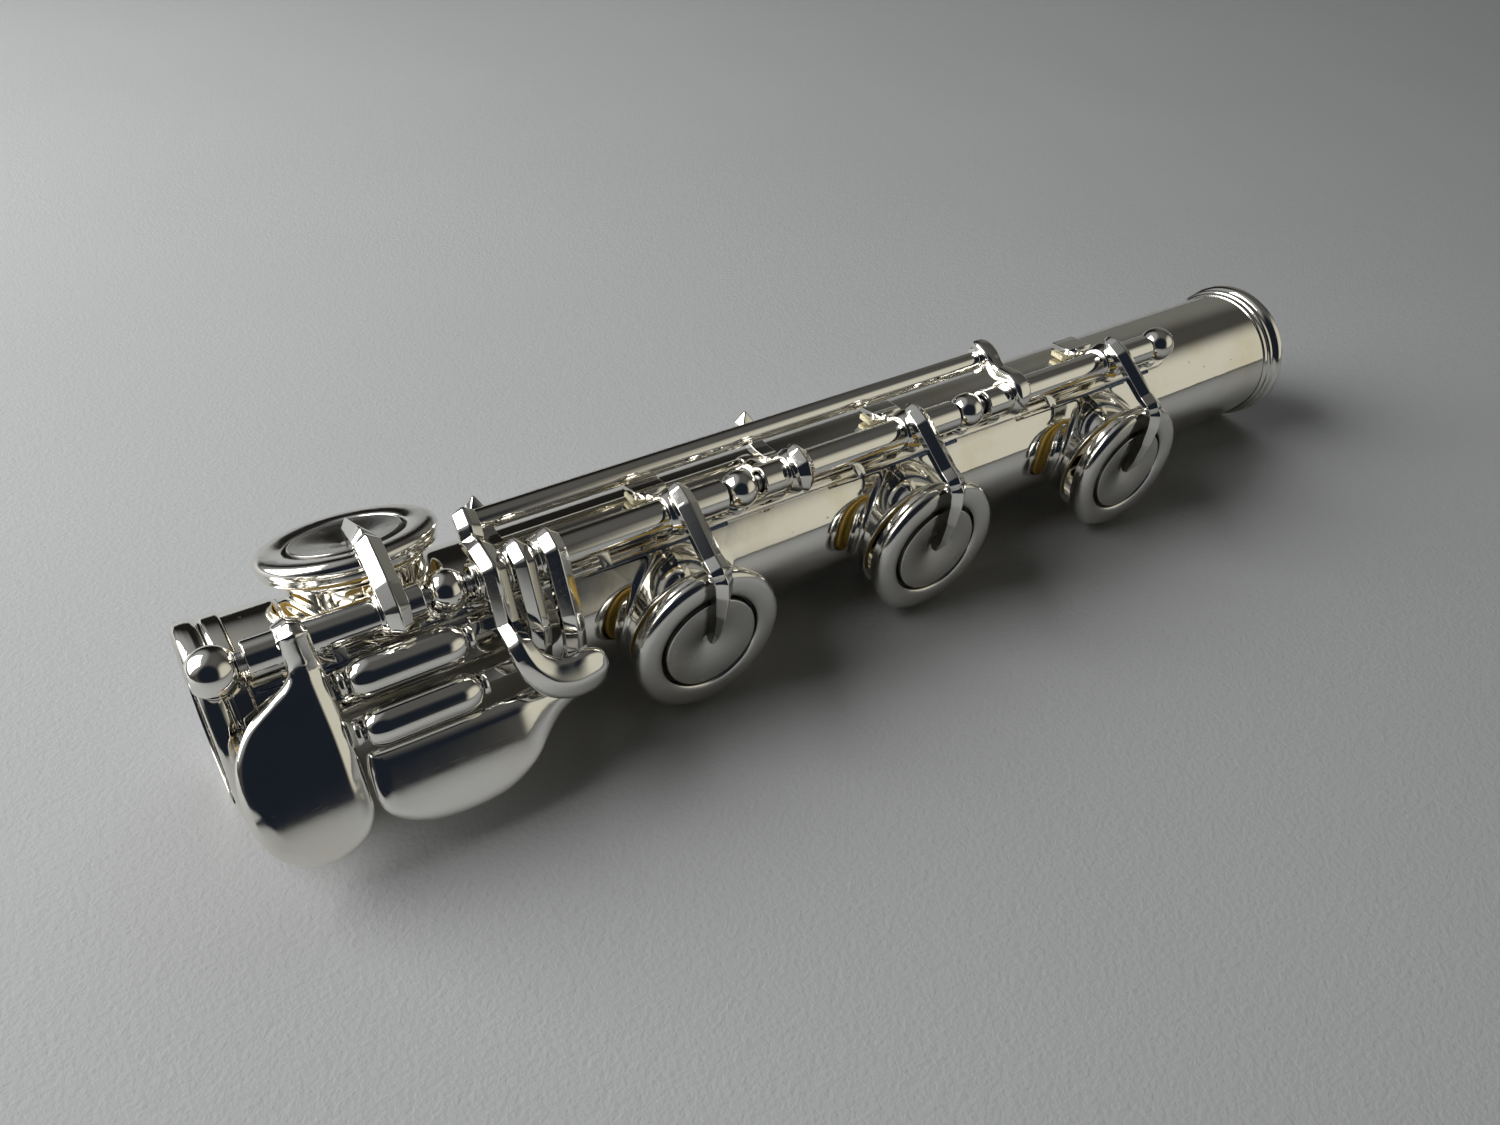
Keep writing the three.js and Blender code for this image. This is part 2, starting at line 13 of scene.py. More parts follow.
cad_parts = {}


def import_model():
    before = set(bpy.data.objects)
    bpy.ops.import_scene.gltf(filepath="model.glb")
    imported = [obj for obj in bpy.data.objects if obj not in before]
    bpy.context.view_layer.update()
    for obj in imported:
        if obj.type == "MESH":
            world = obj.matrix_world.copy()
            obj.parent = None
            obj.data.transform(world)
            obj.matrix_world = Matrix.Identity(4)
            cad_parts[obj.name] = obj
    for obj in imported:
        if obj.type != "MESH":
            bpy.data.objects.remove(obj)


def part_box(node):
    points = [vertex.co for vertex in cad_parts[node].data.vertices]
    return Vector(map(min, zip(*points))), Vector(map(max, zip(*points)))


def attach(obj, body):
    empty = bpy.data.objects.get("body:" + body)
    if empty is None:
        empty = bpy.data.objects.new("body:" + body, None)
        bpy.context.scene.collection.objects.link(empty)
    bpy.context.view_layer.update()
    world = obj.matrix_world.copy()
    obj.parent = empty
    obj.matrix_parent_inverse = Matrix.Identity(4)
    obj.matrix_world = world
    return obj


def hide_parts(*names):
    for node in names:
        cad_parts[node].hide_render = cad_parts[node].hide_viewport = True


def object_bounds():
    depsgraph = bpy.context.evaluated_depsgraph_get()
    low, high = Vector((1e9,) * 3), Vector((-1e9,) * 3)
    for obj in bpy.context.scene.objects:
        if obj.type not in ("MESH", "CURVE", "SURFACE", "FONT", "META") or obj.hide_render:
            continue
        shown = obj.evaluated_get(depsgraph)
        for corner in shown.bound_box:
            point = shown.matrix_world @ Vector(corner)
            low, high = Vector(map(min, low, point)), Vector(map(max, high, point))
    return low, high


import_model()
cad_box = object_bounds()

# ---- driving dimensions, as in the CAD part
LENGTH = 167.4
TUBE_R = 9.9
BORE_R = 9.5
SOCKET_R = 10.3
SOCKET_BORE_R = 9.95
SOCKET_DEPTH = 10.0
RING_R = 10.94
HINGE_DIR = 29.5
HINGE_RAD = 13.75
HINGE_TUBE_R = 2.0
HINGE_BORE_R = 1.3
STEEL_R = 1.1
CLUTCH_R = 2.9
POST_X = (1.9, 25.3, 62.1, 98.5, 136.6)
POST_BALL_R = (2.6, 2.35, 2.35, 2.35, 2.5)
HOLE_X = {"eb": 19.0, "cs": 52.6, "c": 87.6, "b": 124.6}
EB_DIR = -20.7
SIDE_DIR = 97.4
HOLE_R = {"eb": 6.9, "cs": 7.6, "c": 7.6, "b": 7.6}
RIM_H = 11.9
CUP_H = 14.85
OPEN_DEG = 6.5
TOUCH_DIR = 60.0
ROD_B = (-0.4, 14.5)
ROD_C = (3.2, 11.9)
ROD_R = 1.3
ROLLER_R = 2.1
ROLLER_D = 14.5
ROLLER_S = {"b": -2.0, "c": 3.3}
ROLLER_X = (12.8, 25.0)
SPRING_DIR = 149.5
SPRING_RAD = 3.4

ring_low, ring_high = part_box("socket_ring")
ORIGIN = Vector((ring_low.x, (ring_low.y + ring_high.y) / 2, (ring_low.z + ring_high.z) / 2))
FLOOR_Z = cad_box[0].z
MM = 0.001
COS_30 = cos(radians(30))   # the touch plane stands 30 degrees off the vertical
BODY = {"eb": "e_flat_key", "cs": "c_sharp_key", "c": "c_key", "b": "b_key"}


def world(p):
    return ORIGIN + Vector(p) * MM


def polar(deg, r):
    a = radians(deg)
    return (-r * sin(a), r * cos(a))


HINGE = polar(HINGE_DIR, HINGE_RAD)


def around_hinge(deg, r):
    y, z = polar(deg, r)
    return (HINGE[0] + y, HINGE[1] + z)


def touch(s, d):
    """The point s down the touch plane and d outward from the tube axis."""
    out_y, out_z = polar(TOUCH_DIR, 1)
    return (out_y * d - out_z * s, out_z * d + out_y * s)


# ---- shells: lists of points and faces
def blended(a, b, t):
    return tuple(x + (y - x) * t for x, y in zip(a, b))


def rounded(points, cut, steps=3, closed=False, dims=2):
    """Each corner of a path becomes a short curve. Values after the first dims are blended with it."""
    out = []
    for i, p in enumerate(points):
        if not closed and i in (0, len(points) - 1):
            out.append(tuple(p))
            continue
        sides = []
        for q in (points[i - 1], points[(i + 1) % len(points)]):
            length = dist(p[:dims], q[:dims])
            sides.append(blended(p, q, min(cut / max(length, 1e-9), 0.45)))
        for k in range(steps + 1):
            t = k / steps
            out.append(blended(blended(sides[0], p, t), blended(p, sides[1], t), t))
    return out


def strip(faces, a, b, closed=True):
    for i in range(len(a) if closed else len(a) - 1):
        j = (i + 1) % len(a)
        faces.append((a[i], a[j], b[j], b[i]))


def join(*shells):
    verts, faces = [], []
    for more_verts, more_faces in shells:
        start = len(verts)
        verts += more_verts
        faces += [tuple(i + start for i in face) for face in more_faces]
    return verts, faces


def moved(shell, by):
    return [by(v) for v in shell[0]], shell[1]


def loft(rings, caps=True):
    """Skin over rings of as many points each."""
    n = len(rings[0])
    verts = [tuple(p) for ring in rings for p in ring]
    rows = [list(range(k * n, k * n + n)) for k in range(len(rings))]
    faces = []
    for a, b in zip(rows, rows[1:]):
        strip(faces, a, b)
    if caps:
        faces += [tuple(reversed(rows[0])), tuple(rows[-1])]
    return verts, faces


def turned(profile, segments, loop=False):
    """Profile (axial, radius) turned about x. A loop profile closes on itself."""
    verts, faces, rows = [], [], []
    for x, r in profile:
        start = len(verts)
        if r < 1e-6:
            verts.append((x, 0.0, 0.0))
            rows.append([start])
        else:
            for i in range(segments):
                verts.append((x, *polar(360 * i / segments, r)))
            rows.append(list(range(start, start + segments)))
    if loop:
        rows.append(rows[0])
    for a, b in zip(rows, rows[1:]):
        if len(a) == 1:
            faces += [(a[0], b[(i + 1) % segments], b[i]) for i in range(segments)]
        elif len(b) == 1:
            faces += [(a[i], a[(i + 1) % segments], b[0]) for i in range(segments)]
        else:
            strip(faces, a, b)
    return verts, faces


def outward(shell, x, deg, y0=0.0, z0=0.0):
    """Stands a shell turned about x on the axis that leaves (x, y0, z0) in direction deg."""
    out_y, out_z = polar(deg, 1)
    return moved(shell, lambda v: (x + v[1], y0 + v[0] * out_y + v[2] * out_z,
                                   z0 + v[0] * out_z - v[2] * out_y))


def shifted(shell, x, y, z):
    return moved(shell, lambda v: (v[0] + x, v[1] + y, v[2] + z))


def opened(shell):
    """A shell of a closed key, turned about the hinge line to where the key stands open."""
    turn = Matrix.Rotation(radians(-OPEN_DEG), 3, "X")
    hinge = Vector((0, *HINGE))
    return moved(shell, lambda v: tuple(turn @ (Vector(v) - hinge) + hinge))


def rod(x0, x1, r, yz, segments=40, edge=0.2):
    profile = rounded([(x0, 0), (x0, r), (x1, r), (x1, 0)], edge)
    return shifted(turned(profile, segments), 0, *yz)


def hollow(x0, x1, r, bore, yz, segments=48, edge=0.18):
    profile = rounded([(x0, bore), (x0, r), (x1, r), (x1, bore)], edge, closed=True)
    return shifted(turned(profile, segments, loop=True), 0, *yz)


def strap(stations, flat, steps=2):
    """Bar with a roof: two slopes that meet in a ridge, or in a flat of that share of the width.

    Stations hold centre, across, up, half width, half thickness, the ridge's height over it and the
    cut of the section's corners.
    """
    rings = []
    for c, across, up, w, h, ridge, edge in stations:
        f = w * flat
        section = rounded([(-w, -h), (w, -h), (w, h * 0.75), (f, h + ridge), (-f, h + ridge), (-w, h * 0.75)],
                          edge, steps, closed=True)
        rings.append([tuple(Vector(c) + across * a + up * b) for a, b in section])
    return loft(rings)


def heading(path, i):
    """Direction of a path at its i-th point."""
    a, b = path[max(i - 1, 0)], path[min(i + 1, len(path) - 1)]
    return (Vector(b[:3]) - Vector(a[:3])).normalized()


def arm(x, points, bend=0.16, edge=0.08, flat=0.05, steps=2):
    """Bar along points (y, z, half width, half thickness, ridge) in the plane of one x."""
    path = [(x, *p, edge) for p in rounded(points, bend, steps)]
    stations = []
    for i, p in enumerate(path):
        along = heading(path, i)
        stations.append((p[:3], Vector((1, 0, 0)), Vector((0, along.z, -along.y)), *p[3:]))
    return strap(stations, flat)


def catmull(p0, p1, p2, p3, t):
    return 0.5 * (2 * p1 + (p2 - p0) * t + (2 * p0 - 5 * p1 + 4 * p2 - p3) * t * t
                  + (3 * p1 - p0 - 3 * p2 + p3) * t ** 3)


def spline(points, count):
    """Open Catmull-Rom curve through the points, with count steps between each two."""
    out, last = [], len(points) - 1
    for i in range(last):
        near = [Vector(points[min(max(i + k, 0), last)]) for k in (-1, 0, 1, 2)]
        out += [tuple(catmull(*near, k / count)) for k in range(count)]
    return out + [tuple(points[-1])]


def curved_bar(path, flat):
    """Bar along points (x, y, z, half width, half thickness, ridge, edge), its roof away from the tube."""
    stations = []
    for i, p in enumerate(path):
        along = heading(path, i)
        out = Vector((0, p[1], p[2])).normalized()
        up = (out - along * along.dot(out)).normalized()
        stations.append((p[:3], along.cross(up), up, *p[3:]))
    return strap(stations, flat, 4)


def smooth_outline(points, count):
    """Closed Catmull-Rom curve through the points, at even spacing."""
    dense, n, fine = [], len(points), 24
    for i in range(n):
        near = [Vector(points[(i + k) % n]) for k in (-1, 0, 1, 2)]
        dense += [catmull(*near, k / fine) for k in range(fine)]
    reach = [0.0]
    for a, b in zip(dense, dense[1:] + dense[:1]):
        reach.append(reach[-1] + (b - a).length)
    out, j = [], 0
    for k in range(count):
        want = reach[-1] * k / count
        while reach[j + 1] < want:
            j += 1
        t = (want - reach[j]) / max(reach[j + 1] - reach[j], 1e-9)
        out.append(dense[j].lerp(dense[(j + 1) % len(dense)], t))
    return out


def inset(outline, by):
    """The outline moved inward along its own normals."""
    n = len(outline)
    area = sum(a.x * b.y - b.x * a.y for a, b in zip(outline, outline[1:] + outline[:1]))
    sign = 1 if area > 0 else -1
    runs = [(outline[(i + 1) % n] - outline[i - 1]).normalized() for i in range(n)]
    return [p + Vector((-along.y, along.x)) * sign * by for p, along in zip(outline, runs)]


def slab(outline, layers, place):
    """Plate over an outline. Layers hold (inset, height) and place() puts (a, b, height) in space."""
    return loft([[place(p.x, p.y, h) for p in inset(outline, by)] for by, h in layers])


def spine_place(spine, sag):
    """Placement over a bent centre line given as points (y, z) that end with a straight run down a touch.

    Arc length s is measured so that the last run has the touch plane's own s. Past sag[1] the plate falls
    away by sag[0] times the square of the distance.
    """
    runs = [(Vector(q) - Vector(p)).normalized() for p, q in zip(spine, spine[1:])]
    normals = [Vector((run.y, -run.x)) for run in runs]
    mitred = []
    for i, p in enumerate(spine):
        near = normals[max(i - 1, 0):i + 1]
        total = sum(near, Vector((0, 0)))
        mitred.append((*p, *(total / total.dot(near[0]))))
    path = rounded(mitred, 0.12, 2)
    reach = [0.0]
    for a, b in zip(path, path[1:]):
        reach.append(reach[-1] + dist(a[:2], b[:2]))
    end_y, end_z = path[-1][:2]
    shift = -0.5 * end_y - COS_30 * end_z - reach[-1]
    stops = [r + shift for r in reach]

    def place(x, s, h):
        k = 0
        while k < len(path) - 2 and stops[k + 1] < s:
            k += 1
        t = (s - stops[k]) / (stops[k + 1] - stops[k])
        y, z, ny, nz = blended(path[k], path[k + 1], t)
        h = h - sag[0] * max(0.0, s - sag[1]) ** 2
        return (x, y + ny * h, z + nz * h)

    return place, stops[1:-1]


BORDER = (0.14, 0.32, 0.62)   # rows of points near a leaf's edge, which is rounded over the last of them
ROUND_DEPTH = 0.42
SOFT = 0.15                   # half width of the soft crease where the bevel begins
SNAP = 0.07
LEAF_GRID = 0.33
LEAF_SLOPE = 0.4
LEAF_THICK = 1.2


def leaf(outline, place, bends, bevel, fade):
    """Plate with a bevelled border that turns into a roof where the plate is narrow.

    Its height depends on the distance to the outline. Crossing rows of points at the bends keep them crisp,
    and past fade[0] the bevel dies away, all of it by fade[1].
    """
    ring = smooth_outline(outline, 240)
    spans = list(zip(ring, ring[1:] + ring[:1]))

    def reach(p):
        best = 1e9
        for a, b in spans:
            ab = b - a
            t = min(max((p - a).dot(ab) / ab.dot(ab), 0), 1)
            best = min(best, (p - a - ab * t).length_squared)
        return sqrt(best)

    def inside(p):
        hit = False
        for a, b in spans:
            if (a.y > p.y) != (b.y > p.y) and p.x < a.x + (b.x - a.x) * (p.y - a.y) / (b.y - a.y):
                hit = not hit
        return hit

    points = list(ring)
    edges = [(i, (i + 1) % len(ring)) for i in range(len(ring))]

    def add_row(row, far):
        """Points of a row that lie far enough inside become a fixed edge."""
        last = None
        for p in row:
            if inside(p) and reach(p) > far:
                points.append(p)
                if last is not None:
                    edges.append((last, len(points) - 1))
                last = len(points) - 1
            else:
                last = None

    low_x, high_x = min(p.x for p in ring), max(p.x for p in ring)
    low_s, high_s = min(p.y for p in ring), max(p.y for p in ring)
    crease = (bevel - 2 * SOFT, bevel, bevel + 2 * SOFT)
    for by in (*BORDER, *crease):
        loop = inset(ring, by)
        add_row(loop + loop[:1], by - SNAP)
    for s in bends:
        if s < high_s:
            add_row([Vector((low_x + 0.25 * k, s)) for k in range(int((high_x - low_x) / 0.25) + 2)], 0.2)
    middle = []
    count = int((high_s - low_s) / 0.35)
    for k in range(1, count):
        s = low_s + (high_s - low_s) * k / count
        best = max((Vector((low_x + (high_x - low_x) * i / 60, s)) for i in range(61)),
                   key=lambda p: reach(p) if inside(p) else -1)
        if inside(best) and reach(best) < bevel:
            middle.append(best)
    points += middle
    for i in range(1, int((high_s - low_s) / LEAF_GRID)):
        for k in range(1, int((high_x - low_x) / LEAF_GRID)):
            p = Vector((low_x + LEAF_GRID * k + (LEAF_GRID / 2 if i % 2 else 0), low_s + LEAF_GRID * i))
            if inside(p) and reach(p) > bevel + 3 * SOFT:
                points.append(p)
    flat, _, faces = geometry.delaunay_2d_cdt(points, edges, [], 1, 1e-5)[:3]

    def height(p):
        d = reach(p)
        d = next((by for by in (*BORDER, *crease) if abs(d - by) < SNAP), d)
        share = 1 - min(max((p.y - fade[0]) / (fade[1] - fade[0]), 0), 1)
        fall = max(0.0, bevel + SOFT - d)
        fall = fall - SOFT if fall > 2 * SOFT else fall * fall / (4 * SOFT)
        return -LEAF_SLOPE * share * fall - ROUND_DEPTH * max(0.0, 1 - d / BORDER[-1]) ** 2

    verts = [place(p.x, p.y, height(p)) for p in flat] + [place(p.x, p.y, -LEAF_THICK) for p in flat]
    n = len(flat)
    plate = verts, [tuple(f) for f in faces] + [tuple(n + i for i in reversed(f)) for f in faces]
    return join(plate, loft([[place(p.x, p.y, height(p) * (1 - t) - LEAF_THICK * t) for p in ring]
                             for t in (0, 0.3, 0.7, 1)], caps=False))


# ---- materials
class Nodes:
    """Short calls for building a node tree."""

    def __init__(self, tree):
        self.tree = tree
        tree.nodes.clear()

    def add(self, kind, **values):
        node = self.tree.nodes.new(kind)
        for key, value in values.items():
            if key.startswith("in_"):
                key = key[3:]
                socket = node.inputs[int(key) if key.isdigit() else key.replace("_", " ")]
                if isinstance(value, bpy.types.NodeSocket):
                    self.tree.links.new(value, socket)
                else:
                    socket.default_value = value
            else:
                setattr(node, key, value)
        return node

    def math(self, operation, a, b=0.0, clamp=False):
        return self.add("ShaderNodeMath", operation=operation, use_clamp=clamp, in_0=a, in_1=b).outputs[0]

    def times(self, a, b, clamp=False):
        return self.math("MULTIPLY", a, b, clamp)

    def plus(self, a, b):
        return self.math("ADD", a, b)

    def minus(self, a, b):
        return self.math("SUBTRACT", a, b)

    def step(self, value, low, high):
        """0 below low and 1 above high, smooth between them."""
        return self.add("ShaderNodeMapRange", interpolation_type="SMOOTHSTEP", in_Value=value,
                        in_From_Min=low, in_From_Max=high).outputs["Result"]

    def scaled(self, value, low, high):
        return self.add("ShaderNodeMapRange", in_Value=value, in_To_Min=low, in_To_Max=high).outputs["Result"]

    def mix(self, share, a, b):
        a, b = (v if isinstance(v, bpy.types.NodeSocket) else (*v, 1) for v in (a, b))
        return self.add("ShaderNodeMix", data_type="RGBA", in_0=share, in_6=a, in_7=b).outputs[2]

    def noise(self, coords, scale, detail=3.0, rough=0.5):
        return self.add("ShaderNodeTexNoise", in_Vector=coords, in_Scale=scale, in_Detail=detail,
                        in_Roughness=rough).outputs["Fac"]

    def stretched(self, coords, x, y, z, turn=0.0):
        return self.add("ShaderNodeMapping", in_Vector=coords, in_Scale=(x, y, z),
                        in_Rotation=(turn, turn * 0.7, turn * 1.3)).outputs[0]


def new_material(name):
    material = bpy.data.materials.new(name)
    material.use_nodes = True
    nodes = Nodes(material.node_tree)
    coords = nodes.add("ShaderNodeTexCoord").outputs["Object"]
    coords = nodes.add("ShaderNodeVectorMath", operation="SCALE", in_0=coords, in_Scale=1000.0).outputs[0]
    return material, nodes, coords


def finish_material(nodes, bump, height, **inputs):
    """Principled surface with a bump given in millimetres."""
    inputs = {"in_" + key: value for key, value in inputs.items()}
    shader = nodes.add("ShaderNodeBsdfPrincipled", **inputs)
    relief = nodes.add("ShaderNodeBump", in_Height=bump, in_Distance=height * MM)
    nodes.tree.links.new(relief.outputs[0], shader.inputs["Normal"])
    nodes.add("ShaderNodeOutputMaterial", in_Surface=shader.outputs[0])


def silver_material(name, rough, stain, specks, brushed, dents=0.7, light=1.0):
    """Polished silver plate: warm tarnish clouds, small dark specks, fine handling scratches."""
    material, nodes, coords = new_material(name)
    clouds = nodes.step(nodes.noise(coords, 0.11, 5, 0.6), 0.45, 0.75)
    streaks = nodes.noise(nodes.stretched(coords, 0.04, 0.7, 0.7), 1.0, 4, 0.6)
    tarnish = nodes.times(nodes.plus(clouds, nodes.times(streaks, 0.5)), stain, clamp=True)
    cells = nodes.add("ShaderNodeTexVoronoi", in_Vector=coords, in_Scale=0.42).outputs["Distance"]
    spot = nodes.math("LESS_THAN", cells, nodes.scaled(nodes.noise(coords, 0.09, 2), -0.05, specks))
    spot = nodes.times(spot, nodes.step(nodes.noise(coords, 5.0, 2), 0.4, 0.6))
    # light scales both colours down; set far under 1, it paints shade into the silver
    clean, stained = ([light * v for v in shade] for shade in ((0.93, 0.92, 0.885), (0.82, 0.75, 0.58)))
    colour = nodes.mix(nodes.times(spot, 0.75), nodes.mix(tarnish, clean, stained), (0.20, 0.15, 0.10))
    marks = nodes.noise(nodes.stretched(coords, 0.35, 9.0, 9.0, 0.5), 1.0, 2, 0.7)
    cross = nodes.noise(nodes.stretched(coords, 8.0, 0.5, 7.0, 1.1), 1.0, 2, 0.7)
    scratch = nodes.plus(nodes.step(marks, 0.62, 0.8), nodes.step(cross, 0.66, 0.82))
    smear = nodes.step(nodes.noise(coords, 0.35, 4, 0.6), 0.35, 0.8)
    roughness = nodes.plus(nodes.times(smear, brushed), rough)
    roughness = nodes.plus(roughness, nodes.times(scratch, 0.05))
    roughness = nodes.plus(roughness, nodes.times(spot, 0.3))
    waves = nodes.times(nodes.noise(coords, 0.33, 2), dents)
    relief = nodes.minus(nodes.minus(waves, nodes.times(scratch, 0.03)), nodes.times(spot, 0.15))
    finish_material(nodes, relief, 0.03, Base_Color=colour, Metallic=1.0, Roughness=roughness)
    return material


def steel_material(name, light, dark, rough):
    material, nodes, coords = new_material(name)
    turning = nodes.noise(nodes.stretched(coords, 12.0, 0.4, 0.4), 1.0, 3)
    colour = nodes.mix(turning, dark, light)
    roughness = nodes.scaled(turning, rough - 0.06, rough + 0.1)
    finish_material(nodes, turning, 0.01, Base_Color=colour, Metallic=1.0, Roughness=roughness)
    return material


def pad_material():
    """Skin over felt: amber, slightly mottled, with fine wrinkles."""
    material, nodes, coords = new_material("pad_skin")
    mottle = nodes.noise(coords, 0.8, 5, 0.6)
    colour = nodes.mix(mottle, (0.55, 0.34, 0.05), (0.80, 0.56, 0.14))
    wrinkles = nodes.noise(nodes.stretched(coords, 1.0, 3.0, 3.0), 1.4, 5, 0.65)
    finish_material(nodes, wrinkles, 0.12, Base_Color=colour, Roughness=nodes.scaled(mottle, 0.35, 0.6),
                    Coat_Weight=0.25, Coat_Roughness=0.3, Subsurface_Weight=0.15,
                    Subsurface_Radius=(0.0006, 0.0004, 0.0002))
    return material


def cork_material(name, dark, light):
    """Cut cork: cells of two shades with small pores, in layers."""
    material, nodes, coords = new_material(name)
    cells = nodes.add("ShaderNodeTexVoronoi", in_Vector=coords, in_Scale=2.6).outputs["Distance"]
    grain = nodes.noise(nodes.stretched(coords, 0.8, 0.8, 6.0), 1.0, 4, 0.6)
    colour = nodes.mix(grain, dark, light)
    pores = nodes.step(nodes.noise(coords, 4.5, 2), 0.62, 0.7)
    colour = nodes.mix(nodes.times(pores, 0.8), colour, (0.12, 0.06, 0.03))
    finish_material(nodes, nodes.minus(cells, pores), 0.15, Base_Color=colour, Roughness=0.85)
    return material


def floor_material():
    """Pale matt card with a fine grain and soft clouding."""
    material, nodes, coords = new_material("floor_card")
    clouds = nodes.noise(coords, 0.012, 4, 0.5)
    grain = nodes.noise(coords, 1.6, 4, 0.6)
    colour = nodes.mix(clouds, (0.50, 0.51, 0.515), (0.55, 0.56, 0.565))
    colour = nodes.mix(nodes.times(nodes.step(grain, 0.5, 0.75), 0.2), colour, (0.46, 0.465, 0.465))
    relief = nodes.plus(grain, nodes.times(nodes.noise(coords, 0.5, 3), 0.5))
    finish_material(nodes, relief, 0.09, Base_Color=colour, Roughness=0.75, Specular_IOR_Level=0.25)
    return material


SILVER = silver_material("silver_tube", 0.045, 0.55, 0.19, 0.05, 0.4)
SILVER_KEYS = silver_material("silver_keys", 0.05, 0.3, 0.05, 0.05, 0.15)
SILVER_CUPS = silver_material("silver_cups", 0.1, 0.35, 0.12, 0.1, light=0.9)
SILVER_DISC = silver_material("silver_disc", 0.2, 0.5, 0.06, 0.1, light=0.72)
# near-black silver: painted shade in the cups' grooves and on the side walls of the arms' pointed ends, over
# real tarnish clouds
SILVER_PAINTED_SHADE = silver_material("silver_painted_shade", 0.3, 0.9, 0.1, 0.1, light=0.13)
STEEL = steel_material("turned_steel", (0.62, 0.62, 0.63), (0.38, 0.38, 0.39), 0.24)
BLUED = steel_material("blued_steel", (0.16, 0.20, 0.30), (0.06, 0.08, 0.14), 0.22)
PAD = pad_material()
CORK = cork_material("cork", (0.52, 0.33, 0.14), (0.86, 0.70, 0.42))
PALE_CORK = cork_material("cork_pale", (0.74, 0.66, 0.42), (0.95, 0.90, 0.68))


# ---- pieces
def add_object(name, data):
    obj = bpy.data.objects.new(name, data)
    bpy.context.scene.collection.objects.link(obj)
    return obj


def piece(node, shell, material, body):
    """The detailed piece that stands for one CAD node."""
    mesh = bpy.data.meshes.new(node + "_fine")
    mesh.from_pydata([world(v) for v in shell[0]], [], shell[1])
    tidy = bmesh.new()
    tidy.from_mesh(mesh)
    bmesh.ops.remove_doubles(tidy, verts=tidy.verts, dist=1e-7)
    bmesh.ops.recalc_face_normals(tidy, faces=tidy.faces)
    tidy.to_mesh(mesh)
    tidy.free()
    mesh.shade_smooth()
    mesh.materials.append(material)
    obj = add_object(node + "_fine", mesh)
    normals = obj.modifiers.new("even_normals", "WEIGHTED_NORMAL")
    normals.weight = 60
    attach(obj, body)
    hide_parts(node)
    return obj


def key_piece(key, name, shell, material=SILVER_KEYS):
    return piece(f"{key}_{name}", shell, material, BODY[key])


def foot_piece(node, shell, material=SILVER):
    return piece(node, shell, material, "foot_body")


# ---- tube with drawn tone holes
AROUND = 144
STEP_DEG = 360 / AROUND
WINDOW_ROWS = 20
WALL = 0.45
FILLET = 0.75   # at the foot of a chimney
ROLL = 0.45     # how far its rim is rolled out, and its mouth flared


class Hole:
    """One tone hole: a window in the tube's grid, and the rings that close it down to the chimney."""

    def __init__(self, key):
        self.x = HOLE_X[key]
        self.dir = EB_DIR if key == "eb" else SIDE_DIR
        self.r = HOLE_R[key]
        self.wall = self.r + WALL
        self.foot = self.wall + FILLET
        self.half_x = self.foot + 0.5
        half_deg = degrees(asin(self.foot / TUBE_R)) + 8
        self.i0 = round((self.dir - half_deg) / STEP_DEG)
        self.i1 = round((self.dir + half_deg) / STEP_DEG)

    def flat(self, x, y, z):
        """Place of a point of the tube's skin as seen along the hole's axis."""
        return (x - self.x, TUBE_R * sin(atan2(-y, z) - radians(self.dir)))

    def point(self, u, across, height):
        y, z = polar(self.dir, 1)
        return (self.x + u, height * y - across * z, height * z + across * y)

    def on_tube(self, u, across, radius):
        return self.point(u, across, sqrt(max(radius ** 2 - across ** 2, 0)))


def add_ring(verts, ring):
    start = len(verts)
    verts.extend(ring)
    return list(range(start, len(verts)))


def picked(row, columns):
    return [row[i % AROUND] for i in columns]


def tube_skin(verts, faces, start_rows, end_rows, radius, holes):
    """Grid over a cylinder with a window for each hole. Returns the end rings and each window's edge."""
    def ring(x, r, columns=range(AROUND)):
        return add_ring(verts, [(x, *polar(i * STEP_DEG, r)) for i in columns])

    rows = [ring(x, r) for x, r in start_rows]
    for a, b in zip(rows, rows[1:]):
        strip(faces, a, b)
    first, last = rows[0], rows[-1]
    edges = []
    for hole in holes:
        left = ring(hole.x - hole.half_x, radius)
        strip(faces, last, left)
        columns = range(hole.i1, hole.i0 + AROUND + 1)
        before = picked(left, columns)
        side_a, side_b = [], []
        for m in range(1, WINDOW_ROWS):
            x = hole.x + hole.half_x * (2 * m / WINDOW_ROWS - 1)
            arc = ring(x, radius, columns)
            strip(faces, before, arc, closed=False)
            side_a.append(arc[0])
            side_b.append(arc[-1])
            before = arc
        right = ring(hole.x + hole.half_x, radius)
        strip(faces, before, picked(right, columns), closed=False)
        edges.append(picked(left, range(hole.i0, hole.i1 + 1)) + side_a
                     + picked(right, range(hole.i1, hole.i0 - 1, -1)) + side_b[::-1])
        last = right
    for x, r in end_rows:
        row = ring(x, r)
        strip(faces, last, row)
        last = row
    return first, last, edges


